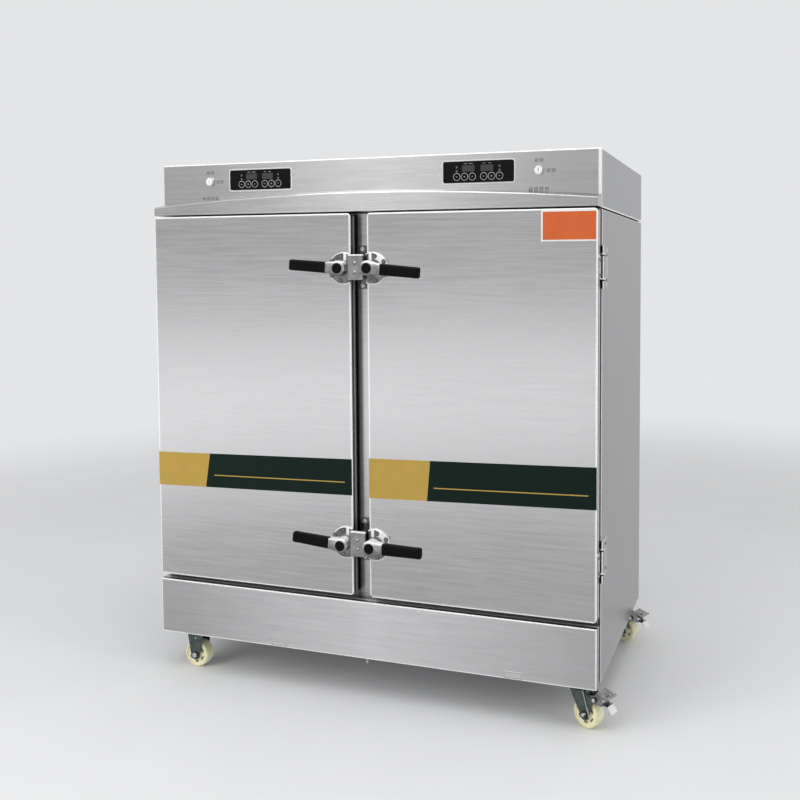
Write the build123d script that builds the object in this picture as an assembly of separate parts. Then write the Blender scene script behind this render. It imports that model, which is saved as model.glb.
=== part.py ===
"""Rice steamer cabinet: a two-door stainless steel case on casters, with a steam chamber behind each door.

While it is built, X runs to the right seen from the front, Y runs to the back and Z up. X is zero in the
middle of the cabinet, Y at the front edges of the side panels and Z on the floor.
"""

from build123d import *
import os

# Case: sheet steel skins round two chambers
cabinet_width = 1380.0
cabinet_depth = 640.0
case_bottom = 116.0
case_height = 1283.5
sheet = 1.2
skin_lip = 22.0
bend = 2.5
front_reach = 55.0
service_height = 167.0
service_gap = 15.5
frame_reach = 20.0
frame_inset = 6.0
bottom_rail = 20.0
middle_rail = 54.0
overrun = 2.0
air_gap = 0.3
tolerance = 0.01

# Base: bottom pan with tube rails on posts that carry the chambers
pan_flange = 30.0
tube = 30.0
tube_wall = 2.0
front_rail_y = 4.0
back_rail_inset = 14.2
rail_side_gap = 28.0
hand_hole_width = 120.0
hand_hole_depth = 100.0
hand_hole_corner = 10.0

# Doors
door_gap = 51.0
door_thick = 30.0
door_corner = 11.0
door_edge_bend = 4.0
liner_raise = 8.0
liner_margin = 10.0
liner_corner = 20.0
gasket_width = 12.0
gasket_margin = 2.5

# Chambers, one behind each door
mullion = 84.0
side_insulation = 38.0
chamber_rise = 1.5
roof_insulation = 31.5
sill = 16.0
wall = 1.5
back_insulation = 34.0
tank_depth = 100.0
tank_margin = 40.0
tank_front = 60.0
tank_back_margin = 21.2

# Tray rails and steam plates
tray_levels = 12
first_rail_rise = 44.0
top_tray_room = 100.0
rail_leg = 20.0
rail_thick = 2.0
rail_front = 6.0
rail_back_gap = 24.0
steam_plate_height = 16.0
steam_plate_inset = 4.0
steam_plate_thick = 1.5
steam_slot_length = 62.0
steam_slot_width = 9.0
steam_slots_across = 6
steam_slots_deep = 5
steam_slot_pitch_x = 92.0
steam_slot_pitch_y = 82.0

# Heating elements
heater_height = 36.0
heater_flange_radius = 32.0
heater_flange = 8.0
heater_hole_radius = 24.0
heater_tube_radius = 5.0
heater_leg_offset = 14.0
heater_row_offset = 9.0
heater_end_gap = 40.0
terminal_radius = 3.0
terminal_length = 16.0

# Water feed tank
feed_half_width = 200.0
feed_depth = 95.0
feed_front_gap = 19.8
feed_back_gap = 38.8
feed_drop = 10.0
feed_height = 130.0
feed_lid = 3.0
feed_lid_lip = 6.0
feed_foot = 30.0
feed_foot_x = 140.0
link_inset = 68.0
link_rise = 15.0
link_radius = 8.0
link_bore = 6.5
inlet_x = -150.0
inlet_drop = 30.0
inlet_radius = 10.5
inlet_bore = 7.5
inlet_reach = 22.0
inlet_nut_radius = 17.0
inlet_nut = 6.0

# Drain valve and outlet pipes
drain_offset = 73.0
drain_y = 90.0
drain_radius = 11.0
drain_bore = 8.5
outlet_rise = 5.0
valve_drop = 34.0
valve_radius = 17.0
valve_half_length = 20.0
stem_radius = 5.0
stem_seat = 9.0
stem_boss_radius = 9.0
stem_length = 14.0
lever_gap = 0.5
drain_lever_length = 74.0
drain_lever_width = 14.0
drain_lever_thick = 3.0
relief_offset = 110.0
relief_y = 46.0
relief_radius = 8.0
relief_bore = 6.5
relief_drop = 4.0
drip_x = 12.0
drip_radius = 3.0
drip_bore = 2.2
drip_setback = 6.0
drip_reach = 14.0

# Cable gland in the back panel
gland_x = 420.0
gland_rise = 84.0
gland_radius = 14.0
gland_neck_radius = 10.0
gland_bore = 7.0
gland_reach = 22.0
gland_nut_radius = 15.0
gland_nut = 6.0
gland_edge = 3.0

# Head with the arched visor
head_gap = 4.0
head_height = 156.5
head_reach = 12.0
head_corner = 8.0
head_edge = 3.0
fascia_wrap = 8.0
plinth_inset = 12.0
plinth_width = 30.0
visor_end_height = 24.0
visor_rise = 30.0
visor_slope = 10.0
visor_edge = 4.0
head_slot_length = 60.0
head_slot_height = 6.0
head_slot_pitch = 80.0
head_slot_rows = 3
head_slot_columns = 5
head_slot_row_pitch = 22.0
head_slot_drop = 80.0

# Control panels, turn switches and the power parts in the head
panel_side_distance = 345.5
panel_drop = 52.0
panel_width = 206.0
panel_height = 59.0
panel_thick = 2.5
panel_corner = 6.0
panel_edge = 1.0
panel_box_margin = 12.0
panel_box_depth = 24.0
key_radius = 9.0
key_raise = 0.6
key_drop = 13.0
key_pitch = 22.8
key_group_offset = 39.5
display_width = 36.0
display_height = 17.0
display_rise = 9.5
display_offset = 39.5
display_sink = 0.6
switch_side_distance = 172.0
switch_drop = 54.0
switch_collar_radius = 13.5
switch_collar = 5.0
switch_knob_radius = 10.5
switch_knob_raise = 2.0
switch_knob_depth = 12.0
switch_slot_width = 2.4
switch_slot_length = 13.0
switch_slot_depth = 1.4
switch_body_radius = 16.0
switch_body_depth = 36.0
running_fit = 0.06
contactor_y = 220.0
contactor_width = 64.0
contactor_depth = 84.0
contactor_height = 88.0
contactor_step = 22.0

# Hinges
hinge_offset = 4.0
hinge_setback = 12.0
hinge_top_inset = 154.5
hinge_bottom_inset = 153.5
hinge_height = 110.0
knuckle_radius = 6.5
end_knuckle = 22.0
knuckle_gap = 0.5
pin_radius = 3.0
pin_head_radius = 5.0
pin_head = 2.0
leaf_thick = 2.5
leaf_corner = 8.0
body_leaf_depth = 62.0
door_leaf_front = 5.0
leaf_hole_radius = 3.2
body_hole_y = 47.0
body_hole_spacing = 68.0
door_hole_y = -38.0
door_hole_spacing = 40.0

# Latches: base and lever on each door, striker block on the mullion
latch_inset = 156.5
pivot_x = 45.5
flange_radius = 46.0
flange_thick = 7.0
flange_edge = 3.0
pivot_boss_radius = 17.0
pivot_boss = 2.0
pivot_pin_radius = 6.0
pin_end_gap = 0.5
latch_hole_radius = 2.6
latch_hole_in_x = 8.0
latch_hole_in_z = 34.0
latch_hole_out_x = 35.5
latch_hole_out_z = 18.5
cam_gap = 0.6
cam_thick = 5.0
cam_radius = 14.0
cam_nose_height = 18.0
cam_nose_gap = 0.8
lever_boss_radius = 21.5
lever_boss = 28.4
lever_edge = 3.0
arm_length = 39.0
arm_half_height = 20.0
arm_depth = 21.0
arm_setback = 1.0
tang_length = 88.0
tang_height = 16.0
tang_depth = 8.0
tang_clearance = 0.2
grip_length = 116.0
grip_height = 32.5
grip_depth = 22.0
grip_end_height = 30.5
grip_end_depth = 19.0
grip_corner = 7.0
grip_end_round = 4.0
cap_radius = 14.8
cap_thick = 5.0
cap_proud = 2.0
cap_edge = 1.5
lever_rise = {"top_left": 4.0, "top_right": -5.0, "bottom_left": 4.5, "bottom_right": -1.0}
striker_width = 46.5
striker_height = 72.0
striker_plate = 8.0
striker_front = 23.0
striker_neck = 30.0
striker_neck_height = 56.0
striker_base_width = 34.0
striker_base_height = 124.0
striker_base = 3.0
striker_corner = 4.0
striker_edge = 1.5
striker_lift = 3.0
striker_rivet_radius = 3.5
striker_rivet = 1.5
striker_rivet_spacing = 26.0

# Casters: two rigid ones on the left, two braked swivel ones on the right
wheel_radius = 40.0
wheel_width = 34.0
wheel_round = 5.0
hub_radius = 15.0
hub_recess = 3.0
rim_radius = 33.0
wheel_slot_count = 6
wheel_slot_radius = 24.0
wheel_slot_length = 12.0
wheel_slot_width = 4.0
wheel_slot_depth = 3.0
axle_radius = 5.0
axle_head_radius = 8.5
axle_head = 5.0
fork_sheet = 2.5
fork_gap = 1.8
fork_foot_radius = 16.0
rigid_top_half = 28.0
fork_hole_radius = 3.0
fork_hole_drop = 24.0
plate_length = 92.0
plate_width = 68.0
plate_thick = 3.0
plate_corner = 6.0
plate_hole_radius = 4.5
plate_hole_inset = 10.0
rigid_side_inset = 98.0
swivel_side_inset = 57.0
front_caster_y = -7.0
rear_caster_inset = 70.8
swivel_trail = 32.0
swivel_turn = -24.0
race_radius = 27.0
race_height = 7.0
race_edge = 2.0
race_gap = 0.4
crown_radius = 30.0
crown_thick = 3.0
crown_edge = 1.5
kingpin_radius = 5.0
kingpin_nut_radius = 9.0
kingpin_nut = 5.0
fork_front_half = 22.0
fork_back_half = 30.0
fork_rib = 4.0
fork_rib_proud = 1.5
fork_rib_lean = 13.0
fork_rib_length = 40.0

# Brake pedals on the swivel casters
pedal_pivot_x = 62.0
pedal_pivot_drop = 28.0
pedal_pin_radius = 3.0
ear_radius = 9.0
pedal_side_gap = 0.5
pedal_sheet = 2.0
pedal_arm_radius = 8.0
pedal_tab_start = 71.0
pedal_tab_end = 106.0
pedal_tab_clearance = 5.0
pedal_tab_drop = 8.0
pedal_tab_width = 40.0
pedal_slot_length = 27.0
pedal_slot_width = 6.0
pedal_slot_corner = 2.0
pedal_slot_inset = 10.0
pedal_lip_radius = 3.2
release_start = 84.0
release_bend = 104.0
release_end = 116.0
release_clearance = 35.0
release_drop = 15.0
release_width = 26.0
release_pad = 4.0
shoe_radius = 4.5
shoe_distance = 11.0
shoe_angle = 20.0

# Planes that several pieces share
half_width = cabinet_width / 2
side_back = cabinet_depth - sheet
case_top = case_bottom + case_height
pan_top = case_bottom + sheet
service_top = case_bottom + service_height
door_bottom = service_top + service_gap
door_front = -front_reach
door_back = door_front + door_thick
frame_front = -frame_reach
frame_edge = half_width - frame_inset
chamber_front = frame_front + sheet
feed_back = side_back - feed_back_gap
feed_front = feed_back - feed_depth
chamber_back = feed_front - feed_front_gap - back_insulation
chamber_depth = chamber_back - chamber_front
chamber_inner = mullion / 2
chamber_outer = half_width - side_insulation
chamber_width = chamber_outer - chamber_inner
chamber_centre = (chamber_inner + chamber_outer) / 2
chamber_floor = door_bottom + chamber_rise
chamber_top = case_top - roof_insulation
chamber_underside = chamber_floor - wall
window_bottom = chamber_floor + sill
service_window_bottom = case_bottom + bottom_rail
service_window_top = window_bottom - middle_rail
rail_half_span = half_width - rail_side_gap
back_rail_y = chamber_back - back_rail_inset
tank_bottom = chamber_floor - tank_depth
tank_inner = chamber_inner + tank_margin
tank_outer = chamber_outer - tank_margin
tank_back = chamber_back - tank_back_margin
first_rail = chamber_floor + first_rail_rise
rail_pitch = (chamber_top - top_tray_room - first_rail) / (tray_levels - 1)
rail_length = chamber_depth - rail_front - rail_back_gap
heater_z = tank_bottom + heater_height
heater_reach = tank_back - tank_front - heater_end_gap
feed_bottom = tank_bottom - feed_drop
feed_top = feed_bottom + feed_height
link_x = tank_inner + link_inset
link_z = tank_bottom + link_rise
inlet_z = feed_top - inlet_drop
drain_x = drain_offset - chamber_centre
outlet_end = case_bottom + outlet_rise
valve_z = tank_bottom - valve_drop
relief_x = chamber_centre + relief_offset
drip_end = case_bottom - drip_reach
gland_z = case_bottom + gland_rise
door_inner = door_gap / 2
door_width = half_width - door_inner
door_height = case_top - door_bottom
door_x = (half_width + door_inner) / 2
door_z = (case_top + door_bottom) / 2
head_bottom = case_top + head_gap
head_top = head_bottom + head_height
head_front = -head_reach
head_slot_z = head_top - head_slot_drop
panel_x = half_width - panel_side_distance
panel_z = head_top - panel_drop
switch_x = half_width - switch_side_distance
switch_z = head_top - switch_drop
hinge_x = half_width + hinge_offset
hinge_y = -hinge_setback
hinge_heights = (case_top - hinge_top_inset, door_bottom + hinge_bottom_inset)
latch_heights = (case_top - latch_inset, door_bottom + latch_inset)
rigid_x = rigid_side_inset - half_width
swivel_x = half_width - swivel_side_inset
rear_caster_y = side_back - rear_caster_inset
fork_hole_z = case_bottom - fork_hole_drop
pedal_pivot_z = case_bottom - pedal_pivot_drop
pedal_tab_top = case_bottom - pedal_tab_clearance
release_top = case_bottom - release_clearance
latch_face = door_front - flange_thick
cam_back = latch_face - pivot_boss - cam_gap
lever_back = cam_back - cam_thick
lever_front = lever_back - lever_boss
striker_z = tuple(height + striker_lift for height in latch_heights)
CORNER = (Align.MIN, Align.MIN, Align.MIN)
ON_END = (Align.CENTER, Align.CENTER, Align.MIN)


def block(x0, x1, y0, y1, z0, z1):
    """A box between two planes along each axis."""
    return Pos(x0, y0, z0) * Box(x1 - x0, y1 - y0, z1 - z0, align=CORNER)


def front_slab(outline, front, back):
    """A piece whose outline is seen from the front, solid from one depth to another."""
    return extrude(Plane.XZ.offset(-back) * outline, amount=back - front)


def flat_slab(outline, low, high):
    """A piece whose outline is seen from above, solid from one height to another."""
    return extrude(Plane.XY.offset(low) * outline, amount=high - low)


def rod(radius, start, end):
    """A round bar from one point to another."""
    run = Vector(*end) - Vector(*start)
    return Plane(start, z_dir=run) * Cylinder(radius, run.length, align=ON_END)


def pipe(radius, bore, start, end):
    """A round pipe from one point to another, open at both ends."""
    return rod(radius, start, end) - rod(bore, start, end)


def hexagon(radius, start, end):
    """A six-sided nut or head from one point to another."""
    run = Vector(*end) - Vector(*start)
    return extrude(Plane(start, z_dir=run) * RegularPolygon(radius, 6), amount=run.length)


def edges_on(piece, **planes):
    """The edges of a piece with both ends on every plane that is named, such as x=0."""
    chosen = ShapeList()
    for edge in piece.edges():
        ends = (edge @ 0, edge @ 1)
        misses = [abs(getattr(end, axis.upper()) - place) for end in ends for axis, place in planes.items()]
        if max(misses) < tolerance:
            chosen.append(edge)
    return chosen


def mirrored(piece):
    """The same piece on the other side of the cabinet."""
    return mirror(piece, about=Plane.YZ)


def side_panel():
    """Right side skin: one sheet with lips folded in at the front, the back and the top."""
    inner = half_width - skin_lip
    panel = block(half_width - sheet, half_width, 0, side_back, case_bottom, case_top)
    panel += block(inner, half_width, 0, sheet, case_bottom, case_top)
    panel += block(inner, half_width, side_back - sheet, side_back, case_bottom, case_top)
    panel += block(inner, half_width, 0, side_back, case_top - sheet, case_top)
    folds = edges_on(panel, x=half_width, y=0) + edges_on(panel, x=half_width, z=case_top)
    return fillet(folds, bend)


def top_panel():
    """Cover sheet over the insulation, under the top lips of the side skins."""
    edge = half_width - sheet
    return block(-edge, edge, sheet, side_back - sheet, case_top - sheet * 2, case_top - sheet)


def back_panel():
    """Back cover, screwed on the back lips, with holes for the water inlet and the cable gland."""
    panel = block(-half_width, half_width, side_back, cabinet_depth, case_bottom, case_top)
    inlet = (inlet_x, side_back - overrun, inlet_z)
    inlet_end = (inlet_x, cabinet_depth + overrun, inlet_z)
    gland = (gland_x, side_back - overrun, gland_z)
    gland_end = (gland_x, cabinet_depth + overrun, gland_z)
    panel -= rod(inlet_radius + air_gap, inlet, inlet_end)
    panel -= rod(gland_neck_radius + air_gap, gland, gland_end)
    return panel


def front_frame():
    """Front frame: folded side stiles, a flat middle post and three rails over each other on each side of it."""
    post_strip = block(-chamber_inner, chamber_inner, frame_front, chamber_front, case_bottom, case_top)
    stile = block(chamber_outer, frame_edge, frame_front, chamber_front, case_bottom, case_top)
    stile += block(frame_edge - sheet, frame_edge, frame_front, 0, case_bottom, case_top)
    head_rail = block(chamber_inner, chamber_outer, frame_front, chamber_front, chamber_top, case_top)
    head_rail += block(chamber_inner, chamber_outer, frame_front, 0, case_top - sheet, case_top)
    sill_rail = block(chamber_inner, chamber_outer, frame_front, chamber_front, service_window_top, window_bottom)
    foot_rail = block(chamber_inner, chamber_outer, frame_front, chamber_front, case_bottom, service_window_bottom)
    foot_rail += block(chamber_inner, chamber_outer, frame_front, 0, case_bottom, case_bottom + sheet)
    bars = [stile, head_rail, sill_rail, foot_rail]
    return [post_strip] + bars + [mirrored(bar) for bar in bars]


def square_tube_x(y):
    """A rail of square tube across the cabinet, under the chambers."""
    low = chamber_underside - tube
    rail = block(-rail_half_span, rail_half_span, y, y + tube, low, chamber_underside)
    inner = block(-rail_half_span, rail_half_span, y + tube_wall, y + tube - tube_wall,
                  low + tube_wall, chamber_underside - tube_wall)
    return rail - inner


def post(x, y):
    """A post of square tube from the pan to a rail."""
    top = chamber_underside - tube
    outer = block(x - tube / 2, x + tube / 2, y, y + tube, pan_top, top)
    inner = block(x - tube / 2 + tube_wall, x + tube / 2 - tube_wall,
                  y + tube_wall, y + tube - tube_wall, pan_top, top)
    return outer - inner


def base_frame():
    """Bottom pan with upturned edges, six posts and two rails, with a hand hole under the drain valve."""
    edge = half_width - sheet
    back = side_back - sheet
    base = block(-edge, edge, sheet, back, case_bottom, pan_top + pan_flange)
    base -= block(-edge + sheet, edge - sheet, sheet * 2, back - sheet, pan_top, pan_top + pan_flange + overrun)
    hole = Pos(drain_x, drain_y - hand_hole_depth / 4) * RectangleRounded(hand_hole_width, hand_hole_depth,
                                                                          hand_hole_corner)
    base -= flat_slab(hole, case_bottom - overrun, pan_top + overrun)
    for x in (-relief_x, relief_x):
        base -= rod(relief_radius + air_gap, (x, relief_y, case_bottom - overrun), (x, relief_y, pan_top + overrun))
    for y in (front_rail_y, back_rail_y):
        base += square_tube_x(y)
        for x in (-rail_half_span + tube / 2, 0, rail_half_span - tube / 2):
            base += post(x, y)
    return base


def floor_pan():
    """Floor of the right chamber with the water tank sunk in it, and holes for the heater and the pipes."""
    pan = block(chamber_inner - wall, chamber_outer + wall, chamber_front, chamber_back + wall,
                chamber_underside, chamber_floor)
    pan += block(tank_inner - wall, tank_outer + wall, tank_front - wall, tank_back + wall,
                 tank_bottom - wall, chamber_floor)
    pan -= block(tank_inner, tank_outer, tank_front, tank_back, tank_bottom, chamber_floor + overrun)
    heater = (chamber_centre, tank_front - wall - overrun, heater_z)
    pan -= rod(heater_hole_radius + air_gap, heater, (chamber_centre, tank_front + overrun, heater_z))
    link = (link_x, tank_back - overrun, link_z)
    pan -= rod(link_bore, link, (link_x, tank_back + wall + overrun, link_z))
    relief = (relief_x, relief_y, chamber_underside - overrun)
    return pan - rod(relief_bore, relief, (relief_x, relief_y, chamber_floor + overrun))


def chamber_walls():
    """Sheets welded on the floor pan of the right chamber: two sides, the back and the top."""
    back = chamber_back + wall
    top = chamber_top + wall
    return [
        block(chamber_inner - wall, chamber_inner, chamber_front, back, chamber_floor, top),
        block(chamber_outer, chamber_outer + wall, chamber_front, back, chamber_floor, top),
        block(chamber_inner, chamber_outer, chamber_back, back, chamber_floor, chamber_top),
        block(chamber_inner, chamber_outer, chamber_front, back, chamber_top, top),
    ]


def left_floor_pan():
    """Floor pan of the left chamber: the mirror image of the right one, with the drain hole in its tank."""
    drain = (drain_x, drain_y, tank_bottom - wall - overrun)
    return mirrored(floor_pan()) - rod(drain_bore, drain, (drain_x, drain_y, tank_bottom + overrun))


def body_insulation():
    """Insulation round the backs, sides and tops of both chambers."""
    edge = half_width - sheet
    back = chamber_back + wall + back_insulation
    foam = block(-edge, edge, sheet, back, chamber_underside, case_top - sheet * 2)
    for inner, outer in ((chamber_inner, chamber_outer), (-chamber_outer, -chamber_inner)):
        foam -= block(inner - wall, outer + wall, 0, chamber_back + wall,
                      chamber_underside - overrun, chamber_top + wall)
    return foam


def tray_rails():
    """Angle rails on both walls of the right chamber, one pair for each tray."""
    rails = []
    front = chamber_front + rail_front
    back = front + rail_length
    for level in range(tray_levels):
        top = first_rail + rail_pitch * level
        inner = block(chamber_inner, chamber_inner + rail_thick, front, back, top - rail_leg, top)
        inner += block(chamber_inner, chamber_inner + rail_leg, front, back, top - rail_thick, top)
        outer = block(chamber_outer - rail_thick, chamber_outer, front, back, top - rail_leg, top)
        outer += block(chamber_outer - rail_leg, chamber_outer, front, back, top - rail_thick, top)
        rails += [inner, outer]
    return rails


def steam_plate():
    """Slotted plate over the right water tank, standing on its two folded sides."""
    left = chamber_inner + steam_plate_inset
    right = chamber_outer - steam_plate_inset
    front = chamber_front + steam_plate_inset
    back = chamber_back - steam_plate_inset
    top = chamber_floor + steam_plate_height
    plate = block(left, right, front, back, chamber_floor, top)
    plate -= block(left + steam_plate_thick, right - steam_plate_thick, front - overrun, back + overrun,
                   chamber_floor - overrun, top - steam_plate_thick)
    slot = SlotOverall(steam_slot_length, steam_slot_width)
    grid = GridLocations(steam_slot_pitch_x, steam_slot_pitch_y, steam_slots_across, steam_slots_deep)
    slots = Pos(chamber_centre, (front + back) / 2) * (Sketch() + [place * slot for place in grid])
    return plate - flat_slab(slots, top - steam_plate_thick - overrun, top + overrun)


def heating_element():
    """Two hairpin tubes on a round flange, with terminals in front, in the right water tank."""
    face = tank_front - wall
    element = rod(heater_flange_radius, (0, face - heater_flange, 0), (0, face, 0))
    element += rod(heater_hole_radius, (0, face - heater_flange, 0), (0, tank_front + wall, 0))
    for row in (-heater_row_offset, heater_row_offset):
        for leg in (-heater_leg_offset, heater_leg_offset):
            element += rod(heater_tube_radius, (leg, face, row), (leg, face + heater_reach, row))
            start = (leg, face - heater_flange - terminal_length, row)
            element += rod(terminal_radius, start, (leg, face, row))
        section = Plane.XZ * Pos(heater_leg_offset, 0) * Circle(heater_tube_radius)
        element += Pos(0, face + heater_reach, row) * revolve(section, Axis.Z, revolution_arc=180)
    return Pos(chamber_centre, 0, heater_z) * element


def feed_tank():
    """Water feed tank on two feet, with its lid, the pipes to both chambers and the water inlet."""
    tub = block(-feed_half_width, feed_half_width, feed_front, feed_back, feed_bottom, feed_top)
    tub -= block(-feed_half_width + wall, feed_half_width - wall, feed_front + wall, feed_back - wall,
                 feed_bottom + wall, feed_top + overrun)
    for x in (-link_x, link_x):
        tub += rod(link_radius, (x, tank_back + wall, link_z), (x, feed_front, link_z))
        tub -= rod(link_bore, (x, tank_back, link_z), (x, feed_front + wall + overrun, link_z))
    for x in (-feed_foot_x, feed_foot_x):
        foot = block(x - feed_foot / 2, x + feed_foot / 2, feed_front, feed_back, pan_top, feed_bottom)
        tub += foot - block(x - feed_foot, x + feed_foot, feed_front + tube_wall, feed_back - tube_wall,
                            pan_top + tube_wall, feed_bottom - tube_wall)
    outside = cabinet_depth + inlet_reach
    tub += rod(inlet_radius, (inlet_x, feed_back, inlet_z), (inlet_x, outside, inlet_z))
    tub += hexagon(inlet_nut_radius, (inlet_x, cabinet_depth, inlet_z), (inlet_x, cabinet_depth + inlet_nut, inlet_z))
    tub -= rod(inlet_bore, (inlet_x, feed_back - wall - overrun, inlet_z), (inlet_x, outside + overrun, inlet_z))
    lid_edge = feed_half_width + feed_lid_lip
    lid = block(-lid_edge, lid_edge, feed_front - feed_lid_lip, feed_back + feed_lid_lip,
                feed_top, feed_top + feed_lid)
    return tub, lid


def drain_valve():
    """Ball valve under the left tank: pipe down from the tank, body with a stem seat, and outlet spigot."""
    stub_top = (drain_x, drain_y, tank_bottom - wall)
    body_low = (drain_x, drain_y, valve_z - valve_half_length)
    body_high = (drain_x, drain_y, valve_z + valve_half_length)
    outlet = (drain_x, drain_y, outlet_end)
    valve = rod(drain_radius, outlet, stub_top) + rod(valve_radius, body_low, body_high)
    boss_front = drain_y - valve_radius - stem_seat
    valve += rod(stem_boss_radius, (drain_x, boss_front, valve_z), (drain_x, drain_y, valve_z))
    valve -= rod(stem_radius + running_fit, (drain_x, boss_front - overrun, valve_z),
                 (drain_x, boss_front + stem_length, valve_z))
    valve -= rod(drain_bore, (drain_x, drain_y, outlet_end - overrun), body_low)
    valve -= rod(drain_bore, body_high, (drain_x, drain_y, tank_bottom))
    return valve


def drain_lever():
    """Lever of the drain valve with its stem, lying level while the valve is shut."""
    back = drain_y - valve_radius - stem_seat - lever_gap
    front = back - drain_lever_thick
    reach = drain_lever_length / 2 - drain_lever_width / 2
    bar = Pos(drain_x + reach, valve_z) * SlotOverall(drain_lever_length, drain_lever_width)
    stem_end = (drain_x, back + stem_length - lever_gap, valve_z)
    return front_slab(bar, front, back) + rod(stem_radius, (drain_x, front, valve_z), stem_end)


def outlet_pipes():
    """Pressure relief pipes from both chamber floors, and the thin drip tube in the service panel."""
    pipes = []
    for x in (-relief_x, relief_x):
        low = (x, relief_y, case_bottom - relief_drop)
        pipes.append(pipe(relief_radius, relief_bore, low, (x, relief_y, chamber_underside)))
    y = door_front + drip_setback
    pipes.append(pipe(drip_radius, drip_bore, (drip_x, y, drip_end), (drip_x, y, service_top)))
    return pipes


def service_panel():
    """Removable panel under the doors: a folded tray with holes for the drip tube."""
    panel = block(-half_width, half_width, door_front, frame_front, case_bottom, service_top)
    folds = edges_on(panel, y=door_front)
    panel = fillet(folds, bend)
    panel -= block(-half_width + sheet, half_width - sheet, door_front + sheet, frame_front + overrun,
                   case_bottom + sheet, service_top - sheet)
    y = door_front + drip_setback
    return panel - rod(drip_radius + air_gap, (drip_x, y, case_bottom - overrun), (drip_x, y, service_top + overrun))


def head_volume(inset):
    """The box of the head with rounded front corners, drawn in by a sheet thickness where asked."""
    edge = half_width - inset
    top = head_top - inset
    front = head_front + inset
    back = cabinet_depth - inset
    head = block(-edge, edge, front, back, head_bottom - inset * 2, top)
    corners = edges_on(head, x=edge, y=front) + edges_on(head, x=-edge, y=front)
    head = fillet(corners, head_corner - inset)
    return fillet(head.faces().sort_by(Axis.Z)[-1].edges(), head_edge - inset)


def visor_volume(inset, back):
    """The arched visor that stands out under the fascia, drawn in by a sheet thickness where asked."""
    edge = half_width - inset
    low = head_bottom + inset
    faces = []
    for y, lift in ((door_front + inset, 0), (back, visor_slope)):
        end_z = head_bottom + visor_end_height + lift - inset
        arc = ThreePointArc((-edge, end_z), (0, end_z + visor_rise), (edge, end_z))
        sides = Polyline((edge, end_z), (edge, low), (-edge, low), (-edge, end_z))
        faces.append(Plane.XZ.offset(-y) * make_face([arc, sides]))
    return loft(faces, ruled=True)


def head_shell():
    """Cover of the head behind the fascia, with three rows of air slots in its back."""
    shell = head_volume(0) - head_volume(sheet)
    edge = half_width + overrun
    shell &= block(-edge, edge, fascia_wrap, cabinet_depth, head_bottom, head_top)
    slot = SlotOverall(head_slot_length, head_slot_height)
    grid = GridLocations(head_slot_pitch, head_slot_row_pitch, head_slot_columns, head_slot_rows)
    for place in grid:
        shell -= front_slab(Pos(0, head_slot_z) * place * slot, cabinet_depth - sheet - overrun,
                            cabinet_depth + overrun)
    return shell


def head_base():
    """Floor of the head on a low plinth that keeps it clear of the case."""
    edge = half_width - sheet
    floor = block(-edge, edge, fascia_wrap, cabinet_depth - sheet, head_bottom, head_bottom + sheet)
    outer = half_width - plinth_inset
    front = plinth_inset
    back = cabinet_depth - plinth_inset
    plinth = block(-outer, outer, front, back, case_top, head_bottom)
    plinth -= block(-outer + plinth_width, outer - plinth_width, front + plinth_width, back - plinth_width,
                    case_top, head_bottom)
    return floor + plinth


def head_fascia():
    """Front of the head: fascia sheet and arched visor in one, with collars round the turn switches."""
    edge = half_width + overrun
    visor = visor_volume(0, head_front)
    fronts = [edge for edge in edges_on(visor, y=door_front) if edge.length > visor_edge]
    visor = fillet(fronts, visor_edge)
    fascia = head_volume(0) & block(-edge, edge, door_front, fascia_wrap, head_bottom, head_top)
    fascia = fascia + visor - head_volume(sheet) - visor_volume(sheet, head_front + sheet * 2)
    cut = Rectangle(panel_width - panel_box_margin * 2 + air_gap * 2, panel_height - panel_box_margin * 2 + air_gap * 2)
    for x in (-panel_x, panel_x):
        fascia -= front_slab(Pos(x, panel_z) * cut, head_front - overrun, head_front + sheet + overrun)
    for x in (-switch_x, switch_x):
        fascia += rod(switch_collar_radius, (x, head_front - switch_collar, switch_z), (x, head_front, switch_z))
        hole = (x, head_front - switch_collar - overrun, switch_z)
        fascia -= rod(switch_knob_radius + running_fit, hole, (x, head_front + sheet + overrun, switch_z))
    return fascia


def control_panel():
    """Control panel with raised keys in two groups of three, two sunk displays and a housing behind."""
    front = head_front - panel_thick
    plate = front_slab(RectangleRounded(panel_width, panel_height, panel_corner), front, head_front)
    plate = fillet(edges_on(plate, y=front), panel_edge)
    housing = Rectangle(panel_width - panel_box_margin * 2, panel_height - panel_box_margin * 2)
    panel = plate + front_slab(housing, head_front, head_front + panel_box_depth)
    for group in (-key_group_offset, key_group_offset):
        for step in (-key_pitch, 0, key_pitch):
            panel += rod(key_radius, (group + step, front - key_raise, -key_drop), (group + step, front, -key_drop))
    for x in (-display_offset, display_offset):
        glass = Pos(x, display_rise) * Rectangle(display_width, display_height)
        panel -= front_slab(glass, front - overrun, front + display_sink)
    return Pos(panel_x, 0, panel_z) * panel


def switch_knob():
    """Round knob of the right turn switch, with a slot across its face that shows where it points."""
    front = head_front - switch_collar - switch_knob_raise
    knob = rod(switch_knob_radius, (0, front, 0), (0, front + switch_knob_depth, 0))
    knob = fillet(edges_on(knob, y=front), switch_slot_depth / 2)
    knob -= front_slab(SlotOverall(switch_slot_length, switch_slot_width, rotation=90), front - overrun,
                       front + switch_slot_depth)
    return Pos(switch_x, 0, switch_z) * knob


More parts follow.
